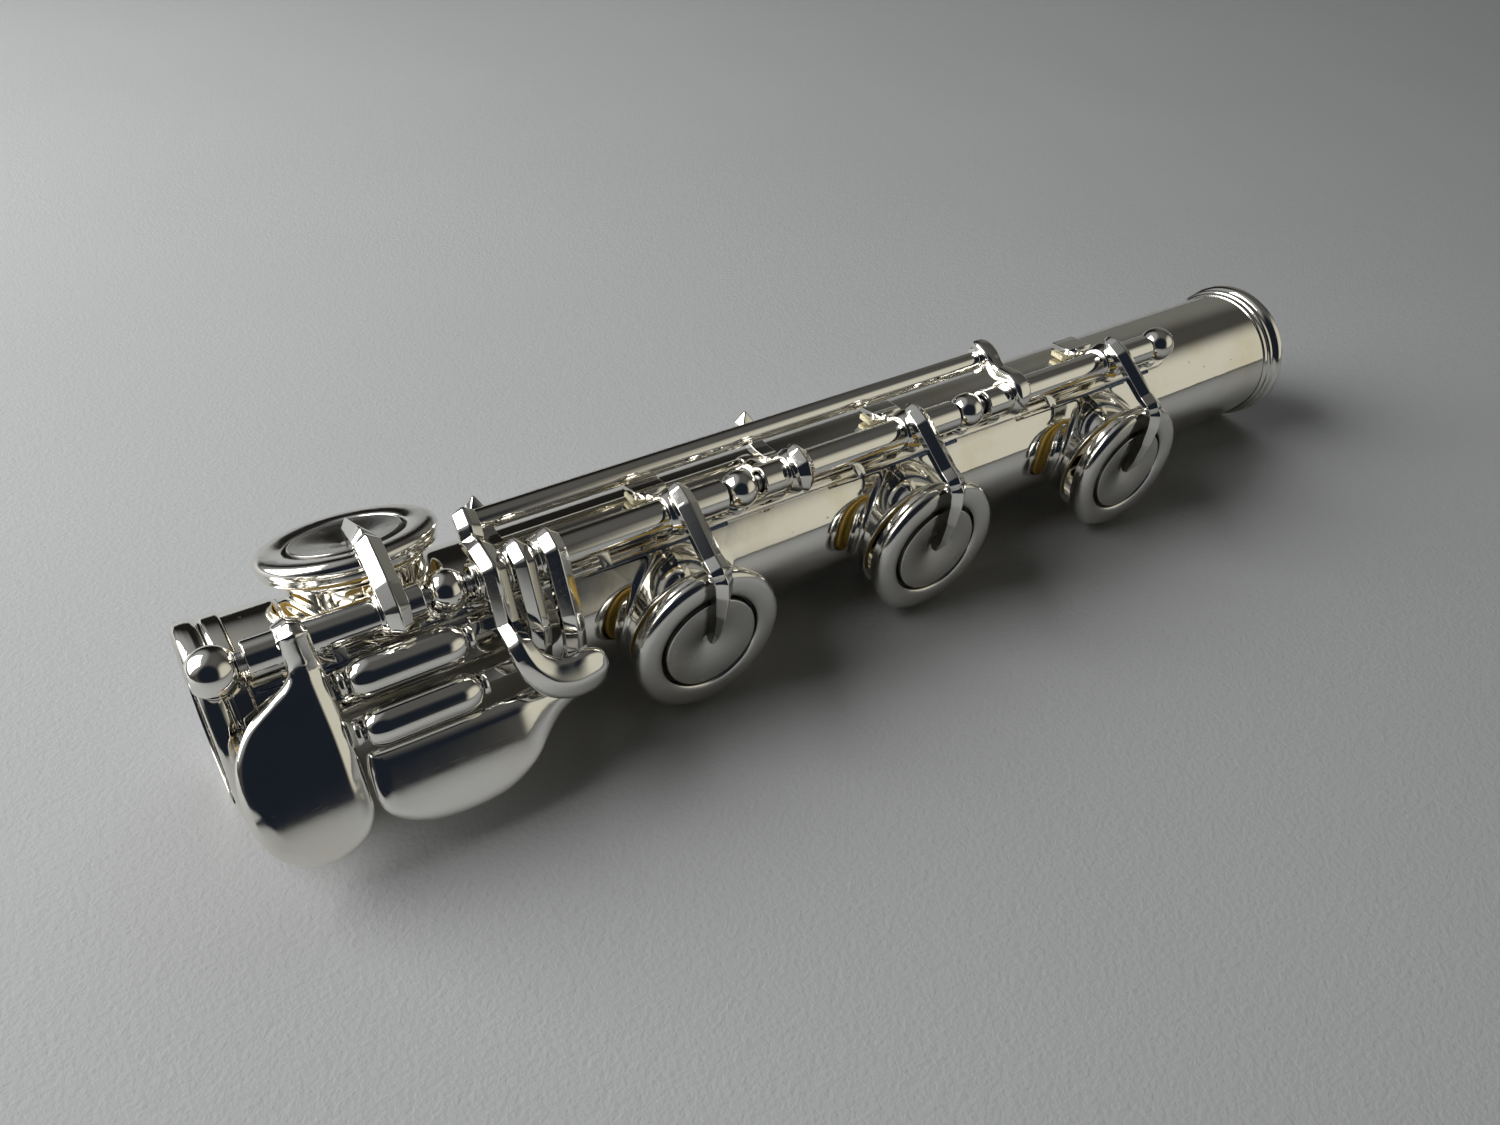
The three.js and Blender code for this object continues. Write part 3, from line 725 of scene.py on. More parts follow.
def chimney_rings(hole, flats):
    """Rings from the window's edge over the tube, up the chimney, over its rim and down to the bore."""
    turns = [atan2(across, u) for u, across in flats]

    def wall_ring(r, height):
        return [hole.point(r * cos(f), r * sin(f), height(sin(f))) for f in turns]

    def fillet(a, b, c, t):
        return (1 - t) ** 2 * a + 2 * t * (1 - t) * b + t * t * c

    def skin(across, radius):
        return sqrt(radius ** 2 - across ** 2)

    rings = []
    for k in range(1, 6):
        ring = [blended(p, (hole.foot * cos(f), hole.foot * sin(f)), k / 5)
                for p, f in zip(flats, turns)]
        rings.append([hole.on_tube(*p, TUBE_R) for p in ring])
    for k in range(1, 7):
        t = k / 6
        r = hole.foot + (hole.wall - hole.foot) * (2 * t - t * t)
        rings.append(wall_ring(r, lambda s, t=t: fillet(
            skin(hole.foot * s, TUBE_R), skin(hole.wall * s, TUBE_R), skin(hole.wall * s, TUBE_R) + FILLET, t)))
    roll = hole.wall + ROLL
    rim = rounded([(hole.wall, RIM_H - 0.95), (hole.wall, RIM_H - 0.8), (roll, RIM_H - ROLL), (roll, RIM_H),
                   (hole.r, RIM_H), (hole.r, RIM_H - 0.6)], 0.3, 4)
    rings += [wall_ring(r, lambda s, h=h: h) for r, h in rim]
    inner = hole.r + ROLL
    for k in range(7):
        t = k / 6
        r = hole.r + (inner - hole.r) * t * t
        rings.append(wall_ring(r, lambda s, t=t: fillet(
            skin(hole.r * s, BORE_R) + 0.5, skin(hole.r * s, BORE_R), skin(inner * s, BORE_R), t)))
    return rings


def foot_tube():
    verts, faces = [], []
    holes = [Hole(key) for key in HOLE_X]
    socket = rounded([(0.95, SOCKET_R), (SOCKET_DEPTH, SOCKET_R), (SOCKET_DEPTH + 0.35, TUBE_R),
                      (SOCKET_DEPTH + 0.6, TUBE_R)], 0.2)
    bore = rounded([(0.95, SOCKET_BORE_R), (SOCKET_DEPTH - 0.2, SOCKET_BORE_R), (SOCKET_DEPTH, BORE_R),
                    (SOCKET_DEPTH + 0.4, BORE_R)], 0.1)
    end = LENGTH - 0.95
    out_first, out_last, out_edges = tube_skin(verts, faces, socket, [(end, TUBE_R)], TUBE_R, holes)
    in_first, in_last, in_edges = tube_skin(verts, faces, bore, [(end, BORE_R)], BORE_R, holes)
    strip(faces, out_first, in_first)
    strip(faces, out_last, in_last)
    for hole, outer, inner in zip(holes, out_edges, in_edges):
        flats = [hole.flat(*verts[i]) for i in outer]
        last = outer
        for ring in chimney_rings(hole, flats):
            row = add_ring(verts, ring)
            strip(faces, last, row)
            last = row
        strip(faces, last, inner)
    return verts, faces


foot_piece("foot_tube", foot_tube())

# ---- end rings
SOCKET_RING = [
    (0.0, 9.97), (0.0, 10.5), (0.12, 10.72), (0.45, 10.9), (0.95, RING_R), (1.5, RING_R), (1.95, 10.86),
    (2.3, 10.66), (2.45, 10.48), (2.75, 10.46), (2.85, 10.66), (3.05, 10.74), (4.4, 10.74), (4.6, 10.68),
    (4.72, 10.45), (4.75, 10.33), (0.7, 10.33), (0.7, 9.97),
]
END_RING = [
    (0.0, 9.5), (0.0, 10.4), (-0.12, 10.66), (-0.45, 10.88), (-0.9, RING_R), (-1.35, 10.88), (-1.75, 10.7),
    (-2.0, 10.42), (-2.12, 10.26), (-2.28, 10.26), (-2.4, 10.46), (-2.6, 10.56), (-3.0, 10.56), (-3.2, 10.44),
    (-3.3, 10.2), (-3.42, 10.14), (-3.9, 10.12), (-4.05, 9.93), (-0.7, 9.93), (-0.7, 9.5),
]
for node, profile in (("socket_ring", SOCKET_RING), ("end_ring", [(LENGTH + x, r) for x, r in END_RING])):
    foot_piece(node, turned(rounded(profile, 0.08, 2, closed=True), AROUND, loop=True))


# ---- rib and posts
RIB_EDGE = ((0, -0.05), (0, 0.35), (0.9, 0.62), (2.4, 0.75))   # degrees inward, height over the tube


def post_rib():
    """Thin strip soldered along the tube under the posts, cut back round the E flat chimney."""
    rings = []
    x0, x1 = 11.0, 141.5
    count = 132
    for k in range(count + 1):
        x = x0 + (x1 - x0) * k / count
        end = min(1.0, sqrt(max(0.0, min(x - x0, x1 - x) / 3.0)) + 0.12)
        low, high = HINGE_DIR - 12.6 * end, HINGE_DIR + 12.6 * end
        reach = 8.5 ** 2 - (x - HOLE_X["eb"]) ** 2
        if reach > 0:
            low = max(low, EB_DIR + degrees(asin(sqrt(reach) / TUBE_R)))
        section = [(low + a, h) for a, h in RIB_EDGE]
        section += [(low + 2.4 + (high - low - 4.8) * i / 6, 0.75) for i in range(1, 6)]
        section += [(high - a, h) for a, h in reversed(RIB_EDGE)]
        rings.append([(x, *polar(a, TUBE_R + h)) for a, h in section])
    return loft(rings)


foot_piece("post_rib", post_rib())


def post(x, ball_r, seat):
    """A bored ball on a turned neck with a stepped foot."""
    bore = HINGE_BORE_R
    start = degrees(asin(bore / ball_r))
    arc = []
    for k in range(25):
        a = radians(start + (180 - 2 * start) * k / 24)
        arc.append((-ball_r * cos(a), ball_r * sin(a)))
    inset_x = arc[0][0] + 0.12
    ball = [(inset_x, bore - 0.05), (arc[0][0] + 0.02, bore + 0.03), *arc[1:-1],
            (-arc[0][0] - 0.02, bore + 0.03), (-inset_x, bore - 0.05)]
    ball = shifted(turned(ball, 56, loop=True), x, *HINGE)
    neck = HINGE_RAD - sqrt(ball_r ** 2 - 1.15 ** 2) + 0.25
    foot = [(seat + h, r) for h, r in ((-1.1, 0), (-1.1, 1.95), (0.12, 1.95), (0.3, 1.72), (0.52, 1.78),
                                       (0.7, 1.5), (0.85, 1.12))]
    foot = rounded(foot + [(neck - 0.35, 1.08), (neck, 1.3), (neck, 0)], 0.1, 3)
    return join(ball, outward(turned(foot, 40), x, HINGE_DIR))


for index, post_x in enumerate(POST_X):
    post_seat = 10.98 if index == 0 else 10.72
    foot_piece(f"post_{index + 1}", post(post_x, POST_BALL_R[index], post_seat), SILVER_KEYS)


def slotted_screw(x, side, reach):
    """Head of a pivot screw, flush in the outer side of an end post, with a cut slot."""
    head = rounded([(0, 0), (0, STEEL_R), (reach, STEEL_R), (reach, 0)], 0.12)
    verts, faces = turned([(x + side * a, r) for a, r in head], 40)
    slot = []
    for vx, y, z in verts:
        deep = abs(vx - (x + side * reach)) < 0.25 and abs(y) < 0.2
        slot.append((vx - side * 0.35 if deep else vx, y, z))
    return shifted((slot, faces), 0, *HINGE)


def hinge_steel():
    left, right = POST_X[0] - 1.9, POST_X[4] + 1.9
    shaft = rod(left + 0.5, right - 0.5, STEEL_R - 0.1, HINGE, 32)
    heads = [slotted_screw(x, side, 1.4) for x, side in ((left + 1.4, -1), (right - 1.4, 1))]
    return join(shaft, *heads)


foot_piece("hinge_steel", hinge_steel(), STEEL)

SPRINGS = {"eb": (4.9, 13.9), "cs": (42, 59.3), "c": (78, 95.7), "b": (112, 133.7)}


def needle(x0, x1):
    """Tapered needle with a slight bow, thick end in its post."""
    rings = []
    for k in range(29):
        t = k / 28
        y, z = around_hinge(SPRING_DIR, SPRING_RAD + 0.12 * sin(pi * t))
        r = 0.27 * (0.5 + 0.5 * t)
        r = r if k else 0.04
        section = [polar(36 * i, r) for i in range(10)]
        rings.append([(x0 + (x1 - x0) * t, y + a, z + b) for a, b in section])
    return loft(rings)


for key, (spring_a, spring_b) in SPRINGS.items():
    foot_piece(f"{key}_needle_spring", needle(spring_a, spring_b), BLUED)


# ---- parts that the keys share
def catch_at(x, offset):
    """Small notched hook on the key tubing that holds the spring's tip."""
    direction = SPRING_DIR - offset
    outline = rounded([(-0.6, -0.9), (0.6, -0.9), (0.6, 0.9), (0.25, 0.9), (0, 0.55), (-0.25, 0.9),
                       (-0.6, 0.9)], 0.12, 2, closed=True)
    y0, z0 = around_hinge(direction, 2.5)
    out_y, out_z = polar(direction, 1)
    return loft([[(x + a, y0 + out_y * h + out_z * across, z0 + out_z * h - out_y * across) for a, h in outline]
                 for across in (-0.22, 0.22)])


def key_tube(x0, x1):
    return hollow(x0, x1, HINGE_TUBE_R, HINGE_BORE_R, HINGE)


def collar(x, w):
    """Ring of an arm round the key tubing, with a low ridge."""
    r = CLUTCH_R
    profile = rounded([(x - w, HINGE_TUBE_R - 0.1), (x - w, r - 0.55), (x, r), (x + w, r - 0.55),
                       (x + w, HINGE_TUBE_R - 0.1)], 0.1, 3, closed=True)
    return shifted(turned(profile, 56, loop=True), 0, *HINGE)


CUP_AROUND = 112
DISC_ROWS = 14
DISC_R = 5.8
DISH = 1.1


def cup(x, direction):
    """Pressed cup: wide rounded ring, sharp groove, dished centre, side wall with a step."""
    profile = rounded([(-0.95, 0), (-0.95, 8.7), (-2.3, 9.05), (-2.3, 9.38), (-1.55, 9.38), (-1.4, 9.42),
                       (-1.34, 9.62)], 0.15, 3)
    for k in range(17):
        a = radians(-60 + 150 * k / 16)
        profile.append((-0.86 + 0.9 * sin(a), 8.75 + 1.03 * cos(a)))
    profile += [(0.06, 8.2), (0.04, 7.6), (-0.03, 7.1), (-0.13, 6.74), (-0.25, 6.6), (-0.5, 6.54),
                (-0.86, 6.5), (-0.88, 6.28), (-0.6, 6.22), (-0.3, 6.16), (-0.08, 6.06), (-0.03, 5.94),
                (-0.05, DISC_R)]
    for k in range(1, DISC_ROWS + 1):
        t = k / DISC_ROWS
        profile.append((-0.05 - DISH * t ** 1.7, DISC_R * (1 - t)))
    profile = [(CUP_H + h, r) for h, r in profile]
    return outward(turned(profile, CUP_AROUND), x, direction)


def pad(x, direction):
    """Skin-covered felt disc with a pressed ring where the chimney's rim meets it."""
    f = CUP_H - 2.75
    profile = [(f + 0.02, 0), (f, 4.0), (f - 0.02, 6.6)]
    for k in range(13):
        r = 7.0 + 1.3 * k / 12
        profile.append((f + 0.16 * exp(-((r - 7.85) / 0.35) ** 2), r))
    profile += rounded([(f, 8.45), (f + 0.02, 8.78), (f + 1.45, 8.72), (f + 1.5, 8.4)], 0.35, 5)[1:]
    profile.append((f + 1.5, 0))
    verts, faces = turned(profile, 112)
    wavy = []
    for h, a, b in verts:
        edge = max(0.0, hypot(a, b) - 6.0) / 2.8
        lift = 0.05 * edge * noise.noise(Vector((a * 0.8 + x, b * 0.8, h)))
        wavy.append((h + lift if h < f + 1.2 else h, a, b))
    return outward((wavy, faces), x, direction)


def cup_piece(key, shell):
    """The dished centre, whose faces come last, is satin, and the groove round it is tarnished silver darkened
    to near black as painted shade.
    """
    cup_mesh = key_piece(key, "cup", shell, SILVER_CUPS).data
    cup_mesh.materials.append(SILVER_DISC)
    cup_mesh.materials.append(SILVER_PAINTED_SHADE)
    disc = (DISC_ROWS + 1) * CUP_AROUND
    for polygon in cup_mesh.polygons[-disc:]:
        polygon.material_index = 1
    # groove faces: near-black silver, painted shade
    for polygon in cup_mesh.polygons[-disc - 6 * CUP_AROUND:-disc - CUP_AROUND]:
        polygon.material_index = 2


def arm_piece(key, shell, centre, reach):
    """Cup arm; the sides of its pointed end, near the centre of the disc, are near-black silver as painted
    shade.
    """
    arm_mesh = key_piece(key, "cup_arm", shell).data
    arm_mesh.materials.append(SILVER_PAINTED_SHADE)
    middle = world((0, *centre))
    for polygon in arm_mesh.polygons:
        away = polygon.center - middle
        # side walls near the disc centre: painted shade
        if abs(polygon.normal.x) > 0.85 and hypot(away.y, away.z) < reach * MM:
            polygon.material_index = 1


def pad_piece(key, shell):
    key_piece(key, "pad", shell, PAD)


def block(ring, layers, place, jitter, seed):
    """Cut cork: a block with softened edges and a rough skin."""
    rng = random.Random(seed)
    outline = [Vector(p) for p in rounded(ring, 0.3, 3, closed=True)]
    dense = []
    for a, b in zip(outline, outline[1:] + outline[:1]):
        count = max(1, round((b - a).length / 0.3))
        dense += [a.lerp(b, i / count) for i in range(count)]
    shell = slab(dense, layers, place)
    return moved(shell, lambda v: tuple(q + rng.uniform(-jitter, jitter) for q in v))


def cork_layers(low, high):
    edge = 0.12
    rows = [(edge, low), (0, low + edge)]
    count = max(2, round((high - low) / 0.2))
    rows += [(0, low + edge + (high - low - 2 * edge) * i / count) for i in range(1, count)]
    return rows + [(0, high - edge), (edge, high)]


def nose(w):
    """Pointed start of an arm on top of the hinge line, up to its shoulder."""
    return [(-6.0, 15.25, 0.05, 0.2, 0.02), (-6.9, 15.2, w * 0.7, 0.45, 0.4), (-7.8, 14.95, w, 0.55, 0.65),
            (-9.3, 14.2, w, 0.6, 0.7)]


# ---- E flat key
def eb_cup_arm():
    x = HOLE_X["eb"] + 0.2
    out_y, out_z = polar(EB_DIR, 1)

    def over(e, w):
        return (out_y * (CUP_H + w) + out_z * e, out_z * (CUP_H + w) - out_y * e)

    shaft = arm(x, [
        (*over(-8.7, 0.9), 1.3, 0.35, 0.6), (*over(-9.6, 0.95), 1.35, 0.5, 0.8), (-7.7, 15.7, 1.35, 0.6, 0.8),
        (-9.7, 14.3, 1.35, 0.6, 0.75), (-10.5, 12.7, 1.2, 0.5, 0.6), (-10.55, 11.9, 0.05, 0.2, 0.02),
    ])
    dart = arm(x, [
        (*over(0.4, -1.0), 0.05, 0.15, 0.02), (*over(-0.5, -0.4), 0.35, 0.5, 0.4),
        (*over(-2.3, 0.45), 0.75, 1.1, 0.75), (*over(-4.8, 0.55), 1.0, 1.0, 0.8),
        (*over(-7.4, 0.7), 1.25, 0.9, 0.9),
        (*over(-8.4, 0.7), 1.3, 0.8, 0.9), (*over(-9.4, 0.8), 1.1, 0.5, 0.5),
    ])
    return join(shaft, dart, collar(x, 1.5))


key_piece("eb", "key_tube", join(key_tube(4.9, 22.6), catch_at(13.3, 21)))
cup_piece("eb", cup(HOLE_X["eb"], EB_DIR))
pad_piece("eb", pad(HOLE_X["eb"], EB_DIR))
arm_piece("eb", eb_cup_arm(), polar(EB_DIR, CUP_H), 6)


def eb_touch():
    spine = [(-6.0, 15.35), (-7.7, 15.65), (-9.3, 15.1), touch(-4.4, 14.95), touch(20, 14.95)]
    place, bends = spine_place(spine, (0.011, 4.6))
    plate = leaf([
        (9.3, -11.6), (9.7, -11.5), (10.5, -10.4), (10.9, -9.3), (10.95, -7.0), (11.2, -4.4), (11.4, -1.0),
        (11.6, 3.0), (11.6, 8.6), (11.3, 12.0), (9.8, 14.2), (7.0, 15.2), (4.2, 14.6), (1.9, 12.7), (0.5, 9.8),
        (0.15, 6.9), (0.35, 3.9), (1.1, 1.5), (2.8, -0.9), (5.2, -2.5), (7.2, -3.7), (8.0, -5.0), (8.0, -7.0),
        (7.9, -9.3), (8.3, -10.4), (8.9, -11.4),
    ], place, bends, 1.55, (7.5, 12.0))
    return join(plate, collar(9.4, 1.4))


key_piece("eb", "touch", eb_touch())
key_piece("eb", "touch_cork", block([(2.2, 3.0), (5.8, 3.0), (5.8, 6.2), (2.2, 6.2)], cork_layers(12.4, 13.72),
                                    lambda x, s, h: (x, *touch(s, h)), 0.03, 7), CORK)


# ---- cups, arms and kickers of the standing-open keys
def side_cup_arm(x):
    shaft = arm(x, [
        (-6.1, 15.5, 0.05, 0.2, 0.02), (-7.0, 15.5, 0.9, 0.45, 0.4), (-7.9, 15.35, 1.25, 0.5, 0.6),
        (-9.6, 14.6, 1.3, 0.55, 0.6),
        (-15.2, 10.75, 1.25, 0.5, 0.6), (-16.8, 10.1, 1.3, 0.45, 0.5), (-17.3, 9.3, 1.2, 0.4, 0.4),
    ])
    dart = arm(x + 0.1, [
        (-15.6, 10.3, 0.9, 0.4, 0.3), (-16.7, 9.85, 1.2, 0.5, 0.45), (-17.0, 9.0, 1.2, 0.9, 0.6),
        (-16.9, 7.4, 1.1, 1.15, 0.6), (-16.55, 4.2, 0.75, 1.1, 0.55), (-16.0, 0.8, 0.4, 0.85, 0.4),
        (-15.3, -1.3, 0.15, 0.6, 0.1), (-14.9, -2.0, 0.05, 0.2, 0.02),
    ])
    return join(shaft, dart, collar(x, 1.5))


def kicker(x):
    return arm(x, [(-3.4, 12.6, 1.4, 0.55, 0.1), (-2.2, 12.0, 2.1, 0.55, 0.2), (0.9, 11.7, 2.1, 0.55, 0.2)],
               edge=0.2)


KICKER_X = {"cs": HOLE_X["cs"], "c": HOLE_X["c"] + 0.8, "b": HOLE_X["b"]}
for number, key in enumerate(("cs", "c", "b")):
    hole_x, kicker_x = HOLE_X[key], KICKER_X[key]
    cup_piece(key, opened(cup(hole_x, SIDE_DIR)))
    pad_piece(key, opened(pad(hole_x, SIDE_DIR)))
    arm_piece(key, side_cup_arm(hole_x + 0.3), (-15.5, -0.9), 10)
    key_piece(key, "kicker", kicker(kicker_x))
    cork = block([(-2.0, -1.15), (2.0, -1.15), (2.0, 1.15), (-2.0, 1.15)], cork_layers(-0.37, 0.37),
                 lambda a, b, h, at=kicker_x: (at + a, b - 0.3, 10.62 + h), 0.02, 11 + number)
    key_piece(key, "kicker_cork", cork, PALE_CORK)


# ---- C sharp key
def cs_touch():
    x = 36.7
    bar = arm(x, nose(1.25) + [
        (*touch(-0.6, 14.6), 1.25, 0.55, 0.6), (*touch(1.2, 14.1), 1.25, 0.55, 0.5),
        (*touch(3.4, 13.1), 1.25, 0.5, 0.3), (*touch(5.0, 12.9), 1.1, 0.4, 0.05),
    ])
    straight, _ = spine_place([touch(-5, 14.95), touch(25, 14.95)], (0.012, 6.0))

    def place(a, s, h):
        t = min(max((a - 28.0) / 8.0, 0), 1)
        x0, y, z = straight(a, s, h)
        fall = 1.45 * t * t * (3 - 2 * t)
        return (x0, y + fall * COS_30, z - fall / 2)

    plate = leaf([
        (12.3, 6.0), (11.9, 8.6), (12.1, 11.2), (13.4, 13.3), (16.2, 15.0), (20.3, 15.8), (25.0, 15.5),
        (28.6, 13.7), (31.0, 11.5), (33.0, 10.1), (35.6, 8.9), (37.4, 7.0), (38.0, 4.4), (37.7, 2.6),
        (36.2, 2.0), (35.5, 3.4), (34.0, 4.8), (31.4, 5.5), (27.6, 5.75), (22.8, 5.75), (17.6, 5.7),
        (13.4, 5.65),
    ], place, [], 1.5, (8.0, 12.5))
    return join(bar, plate, collar(x, 1.4))


key_piece("cs", "key_tube", join(key_tube(34.8, 59.5), catch_at(42.9, 17)))
key_piece("cs", "touch", cs_touch())


# ---- rollers
def roller_frame(s, x_end, ear):
    """Cradle of a roller: a bar under it and a drilled ear at each end."""
    section = rounded([(s - 0.8, 10.95), (s + 0.8, 10.95), (s + 0.8, 11.85), (s - 0.8, 11.85)], 0.2, 2,
                      closed=True)
    bar = loft([[(x, *touch(a, d)) for a, d in section] for x in (ROLLER_X[0] - 1.0, x_end)])
    outline = rounded([(s - 0.85, 11.2), (s + 0.85, 11.2), (s + ear, ROLLER_D - 0.4), (s + 0.7, ROLLER_D + 0.7),
                       (s - 0.7, ROLLER_D + 0.7), (s - ear, ROLLER_D - 0.4)], 0.6, 4, closed=True)
    outline = [Vector(p) for p in outline]
    layers = [(0.12, -0.38), (0, -0.26), (0, 0.26), (0.12, 0.38)]
    ears = [slab(outline, layers, lambda a, d, h, at=x: (at + h, *touch(a, d)))
            for x in (ROLLER_X[0] - 0.6, ROLLER_X[1] + 0.6)]
    return join(bar, *ears)


def roller(s):
    a, b = ROLLER_X
    reach = 2.3
    ends = [(0.0, 0.8)]
    for k in range(13):
        t = radians(90 * k / 12)
        ends.append((reach * (1 - cos(t)), 0.95 + (ROLLER_R - 0.95) * sin(t)))
    profile = [(a + x, r) for x, r in ends] + [(b - x, r) for x, r in reversed(ends)]
    return shifted(turned(profile, 64, loop=True), 0, *touch(s, ROLLER_D))


def roller_pin(s):
    a, b = ROLLER_X[0] - 0.95, ROLLER_X[1] + 0.95
    return rod(a, b, 0.55, touch(s, ROLLER_D), 28, 0.12)


for key in ("c", "b"):
    piece(f"{key}_roller", roller(ROLLER_S[key]), SILVER_KEYS, f"{key}_roller")
    key_piece(key, "roller_pin", roller_pin(ROLLER_S[key]), STEEL)


# ---- C key
def c_lever():
    x = 33.05
    bar = arm(x, nose(1.15) + [
        (*touch(-0.6, 14.4), 1.15, 0.55, 0.6), (*touch(1.4, 13.4), 1.15, 0.55, 0.5),
        (*touch(3.6, 11.9), 1.1, 0.5, 0.3),
    ])
    return join(bar, roller_frame(ROLLER_S["c"], x, 1.5), collar(x, 1.25))


def c_link(x):
    """Low link that passes under the B rod and holds an end of the C rod."""
    bar = arm(x, [
        (-4.1, 12.0, 1.0, 0.6, 0.1), (-2.6, 11.45, 1.0, 0.6, 0.1), (-0.4, 11.3, 1.0, 0.6, 0.1),
        (1.6, 11.5, 1.0, 0.7, 0.1), (3.2, 11.9, 1.0, 0.7, 0),
    ])
    head = arm(x, [
        (2.9, 10.5, 0.7, 0.9, 0), (3.0, 10.9, 1.0, 1.3, 0.1), (3.2, 12.0, 1.15, 1.55, 0.15),
        (3.3, 13.4, 1.1, 1.2, 0.15), (3.4, 14.9, 0.2, 0.25, 0.05),
    ], edge=0.22)
    return join(bar, head)


key_piece("c", "lever_tube", key_tube(31.6, 34.5))
key_piece("c", "key_tube", join(key_tube(64.8, 95.8), catch_at(78.9, 17)))
key_piece("c", "lever", c_lever())
key_piece("c", "link_left", c_link(33.05))
key_piece("c", "link_right", c_link(69.5))
key_piece("c", "rod", rod(34.2, 68.4, ROD_R - 0.05, ROD_C))
key_piece("c", "link_collar", join(collar(69.5, 1.3), arm(69.5, nose(1.2) + [
    (-9.9, 13.4, 1.15, 0.55, 0.6), (-10.2, 11.9, 0.8, 0.4, 0.3), (-9.8, 10.9, 0.1, 0.2, 0.05),
])))


# ---- B key
def b_link():
    """Waved strap over the end of the B rod and the hinge line, with a head and a collar under its crests."""
    x = 106.3
    strap_over = arm(x, [
        (1.3, 15.9, 0.08, 0.2, 0.02), (0.7, 16.4, 0.9, 0.5, 0.1), (-0.4, 16.5, 1.25, 0.6, 0.12),
        (-1.8, 15.9, 1.2, 0.75, 0.12), (-3.1, 14.8, 1.0, 0.9, 0.1), (-4.4, 14.3, 0.95, 0.9, 0.1),
        (-5.6, 14.6, 1.1, 0.8, 0.12), (-7.2, 14.9, 1.3, 0.65, 0.12), (-8.7, 14.2, 1.3, 0.6, 0.12),
        (-9.5, 12.7, 1.1, 0.5, 0.1), (-9.6, 11.5, 0.1, 0.2, 0.02),
    ], bend=0.8, edge=0.22, flat=0.62, steps=6)
    head = rounded([(x - 1.15, 0), (x - 1.15, 1.85), (x + 1.15, 1.85), (x + 1.15, 0)], 0.3, 4)
    return join(strap_over, shifted(turned(head, 48), 0, *ROD_B), collar(x, 1.2))


def gizmo():
    """Arm, thumb-like paddle and roller cradle of the B key."""
    x = 29.65
    strap_path = rounded([
        (30.2, -0.1, 16.55, 0.05, 0.2, 0.02, 0.02), (30.1, -1.2, 16.45, 1.25, 0.6, 0.5, 0.1),
        (30.0, -2.7, 15.6, 1.3, 0.6, 0.6, 0.1), (29.9, -3.6, 14.4, 1.3, 0.6, 0.6, 0.1),
        (29.75, -6.2, 15.0, 1.3, 0.6, 0.65, 0.1), (29.75, -9.1, 14.5, 1.3, 0.6, 0.65, 0.1),
        (29.7, -11.6, 8.9, 1.3, 0.6, 0.65, 0.12), (29.8, -14.2, 7.9, 1.35, 0.6, 0.65, 0.2),
        (30.0, *touch(1.2, 16.45), 1.5, 0.6, 0.62, 0.4),
    ], 0.16, 2, dims=3)
    paddle = spline([
        (30.0, *touch(1.2, 16.45), 1.5, 0.6, 0.62, 0.4), (30.7, *touch(3.0, 16.55), 1.8, 0.65, 0.6, 0.6),
        (32.2, *touch(4.7, 16.55), 2.2, 0.7, 0.6, 0.8), (34.3, *touch(5.5, 16.45), 2.5, 0.75, 0.6, 0.9),
        (36.2, *touch(5.5, 16.35), 2.6, 0.8, 0.55, 0.9), (37.6, *touch(5.4, 16.2), 2.2, 0.75, 0.45, 0.9),
        (38.35, *touch(5.35, 16.05), 1.45, 0.55, 0.25, 0.7), (38.7, *touch(5.3, 15.95), 0.35, 0.2, 0.03, 0.1),
    ], 5)
    bar = curved_bar(strap_path[:-1] + paddle, 0.12)
    outline = rounded([(-3.0, 11.3), (-1.2, 11.3), (-0.9, 15.4), (-3.4, 15.1)], 0.3, 3, closed=True)
    web = slab([Vector(p) for p in outline], [(0.15, 28.6), (0, 28.75), (0, 30.25), (0.15, 30.4)],
               lambda a, d, h: (h, *touch(a, d)))
    return join(bar, web, roller_frame(ROLLER_S["b"], 29.4, 1.5), collar(x, 1.2))


key_piece("b", "lever_tube", key_tube(28.0, 31.3))
key_piece("b", "key_tube", join(key_tube(101.2, 133.7), catch_at(112.9, 17)))
key_piece("b", "rod", rod(30.9, 105.2, ROD_R, ROD_B))
key_piece("b", "link", b_link())
piece("gizmo", gizmo(), SILVER_KEYS, BODY["b"])


# ---- floor, light and camera
def direction(azimuth, elevation):
    """Unit vector. Azimuth 0 is -y and 90 is +x."""
    a, e = radians(azimuth), radians(elevation)
    return Vector((sin(a) * cos(e), -cos(a) * cos(e), sin(e)))


def make_floor():
    half = 1.6
    mesh = bpy.data.meshes.new("floor")
    corners = ((-half, -half), (half, -half), (half, half), (-half, half))
    mesh.from_pydata([(*corner, FLOOR_Z) for corner in corners], [], [(0, 1, 2, 3)])
    mesh.materials.append(floor_material())
    add_object("floor", mesh)


def area_light(name, azimuth, elevation, distance, width, height, power, colour):
    data = bpy.data.lights.new(name, "AREA")
    data.shape = "RECTANGLE"
    data.size, data.size_y = width, height
    data.energy = power
    data.color = colour
    light = add_object(name, data)
    towards = direction(azimuth, elevation)
    light.location = towards * distance
    light.rotation_mode = "QUATERNION"
    light.rotation_quaternion = towards.to_track_quat("Z", "Y")
    return light


FILL = 0.06   # share of the room's light that reaches matt surfaces
# What the silver mirrors: azimuth, elevation, angles at which a patch is whole and at which it ends, colour.
PATCHES = [
    ((125, 6, 12, 36), (0.15, 0.15, 0.135)), ((172, 20, 14, 42), (0.012, 0.011, 0.010)),
    ((-130, 40, 32, 52), (0.30, 0.305, 0.31)), ((50, 12, 16, 40), (0.56, 0.54, 0.455)),
    ((-22, 28, 32, 50), (0.010, 0.013, 0.020)),
]


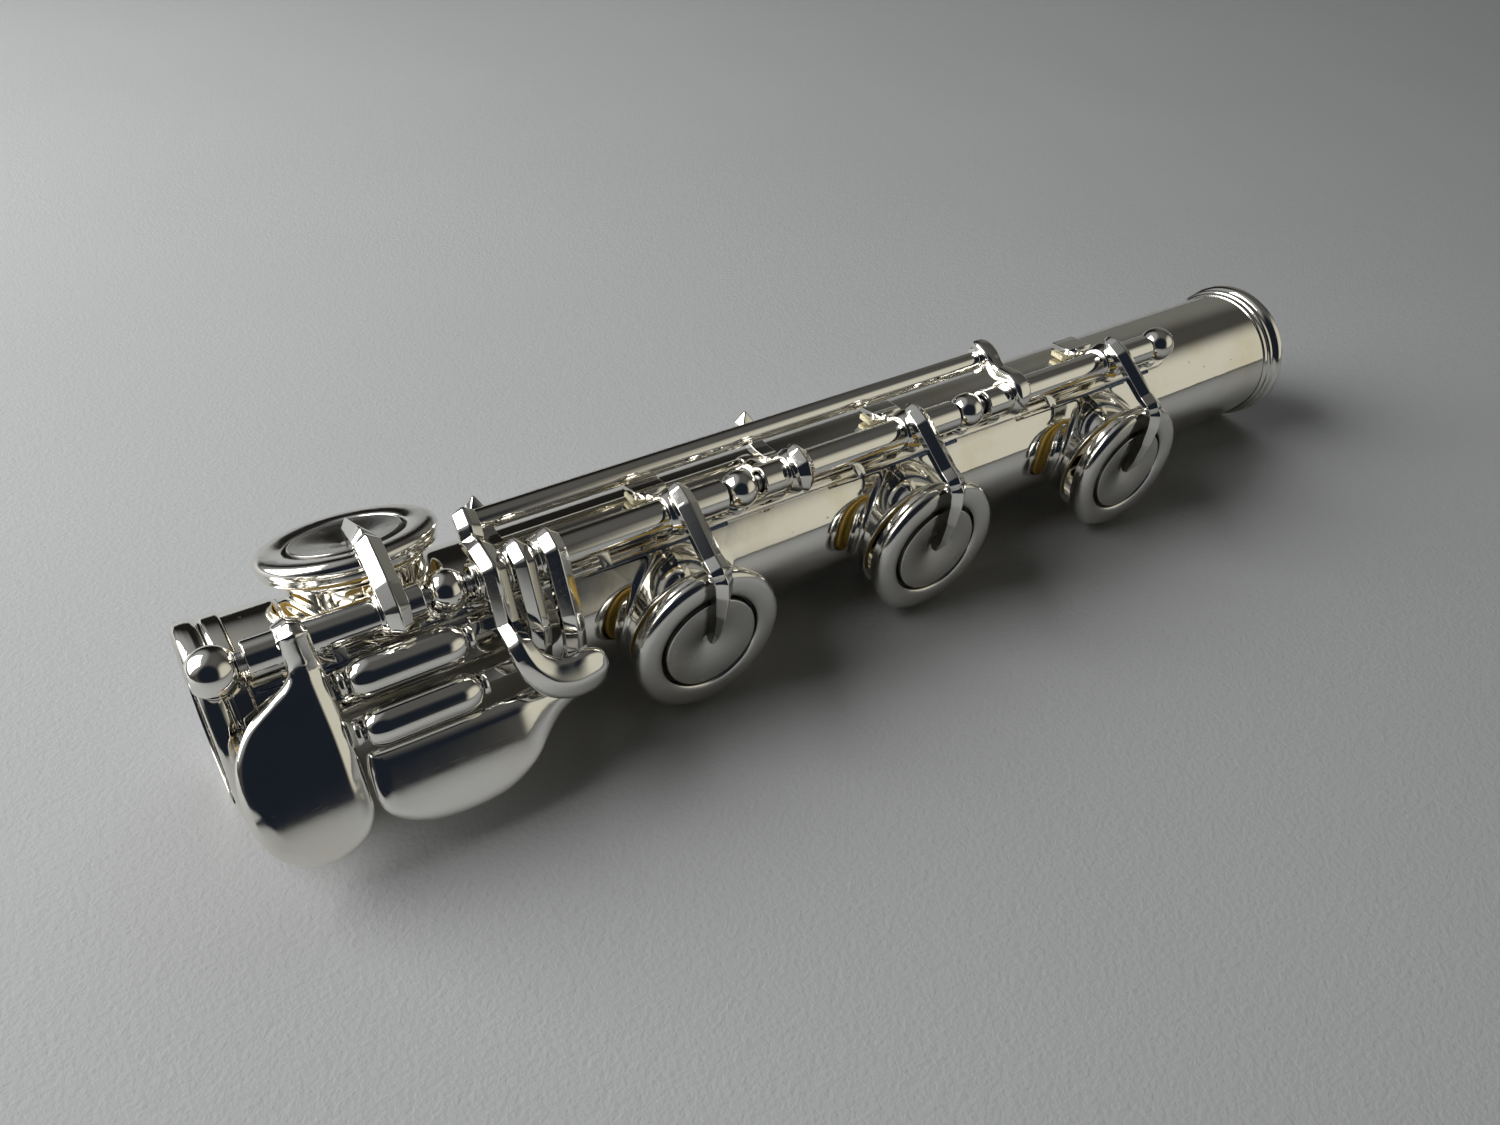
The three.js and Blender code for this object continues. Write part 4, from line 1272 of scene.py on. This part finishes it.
def make_room():
    """Dim studio round the part: a darker side, a warm pale wall and a soft glow round the window light."""
    room = bpy.data.worlds.new("studio")
    bpy.context.scene.world = room
    room.use_nodes = True
    nodes = Nodes(room.node_tree)
    ray = nodes.add("ShaderNodeTexCoord").outputs["Generated"]

    def patch(azimuth, elevation, inner, outer):
        dot = nodes.add("ShaderNodeVectorMath", operation="DOT_PRODUCT", in_0=ray,
                        in_1=direction(azimuth, elevation)).outputs["Value"]
        return nodes.step(dot, cos(radians(outer)), cos(radians(inner)))

    colour = nodes.mix(patch(0, 90, 15, 60), (0.05, 0.048, 0.044), (0.085, 0.084, 0.08))
    for place, shade in PATCHES:
        colour = nodes.mix(patch(*place), colour, shade)
    path = nodes.add("ShaderNodeLightPath")
    strength = nodes.scaled(path.outputs["Is Diffuse Ray"], 1.0, FILL)
    shade = nodes.add("ShaderNodeBackground", in_Color=colour, in_Strength=strength)
    nodes.add("ShaderNodeOutputWorld", in_Surface=shade.outputs[0])


CAMERA_AT = (-3.195, -98.626, 91.136)
CAMERA_DEG = (36.32, -38.70, 3.67)   # turned from +y towards +x, raised, rolled
CAMERA_LENS = 27.72


def make_camera():
    """The photograph's place and angle."""
    azimuth, elevation, roll = (radians(a) for a in CAMERA_DEG)
    forward = Vector((sin(azimuth) * cos(elevation), cos(azimuth) * cos(elevation), sin(elevation)))
    level = Vector((cos(azimuth), -sin(azimuth), 0))
    right = level * cos(roll) + level.cross(forward) * sin(roll)
    up = right.cross(forward)
    data = bpy.data.cameras.new("camera")
    data.sensor_width = 36.0
    data.lens = CAMERA_LENS
    data.clip_start = 0.005
    camera = add_object("camera", data)
    camera.matrix_world = Matrix((right, up, -forward)).transposed().to_4x4()
    camera.location = world(CAMERA_AT)
    bpy.context.scene.camera = camera


make_floor()
make_room()
area_light("window", -121, 33, 0.56, 0.45, 0.5, 3.75, (1.0, 0.995, 0.985))
far_side = area_light("far_side", 145, 36, 0.85, 0.7, 0.7, 1.1, (0.98, 0.99, 1.0))
far_side.visible_glossy = False
make_camera()
bpy.context.scene.view_settings.view_transform = "Standard"
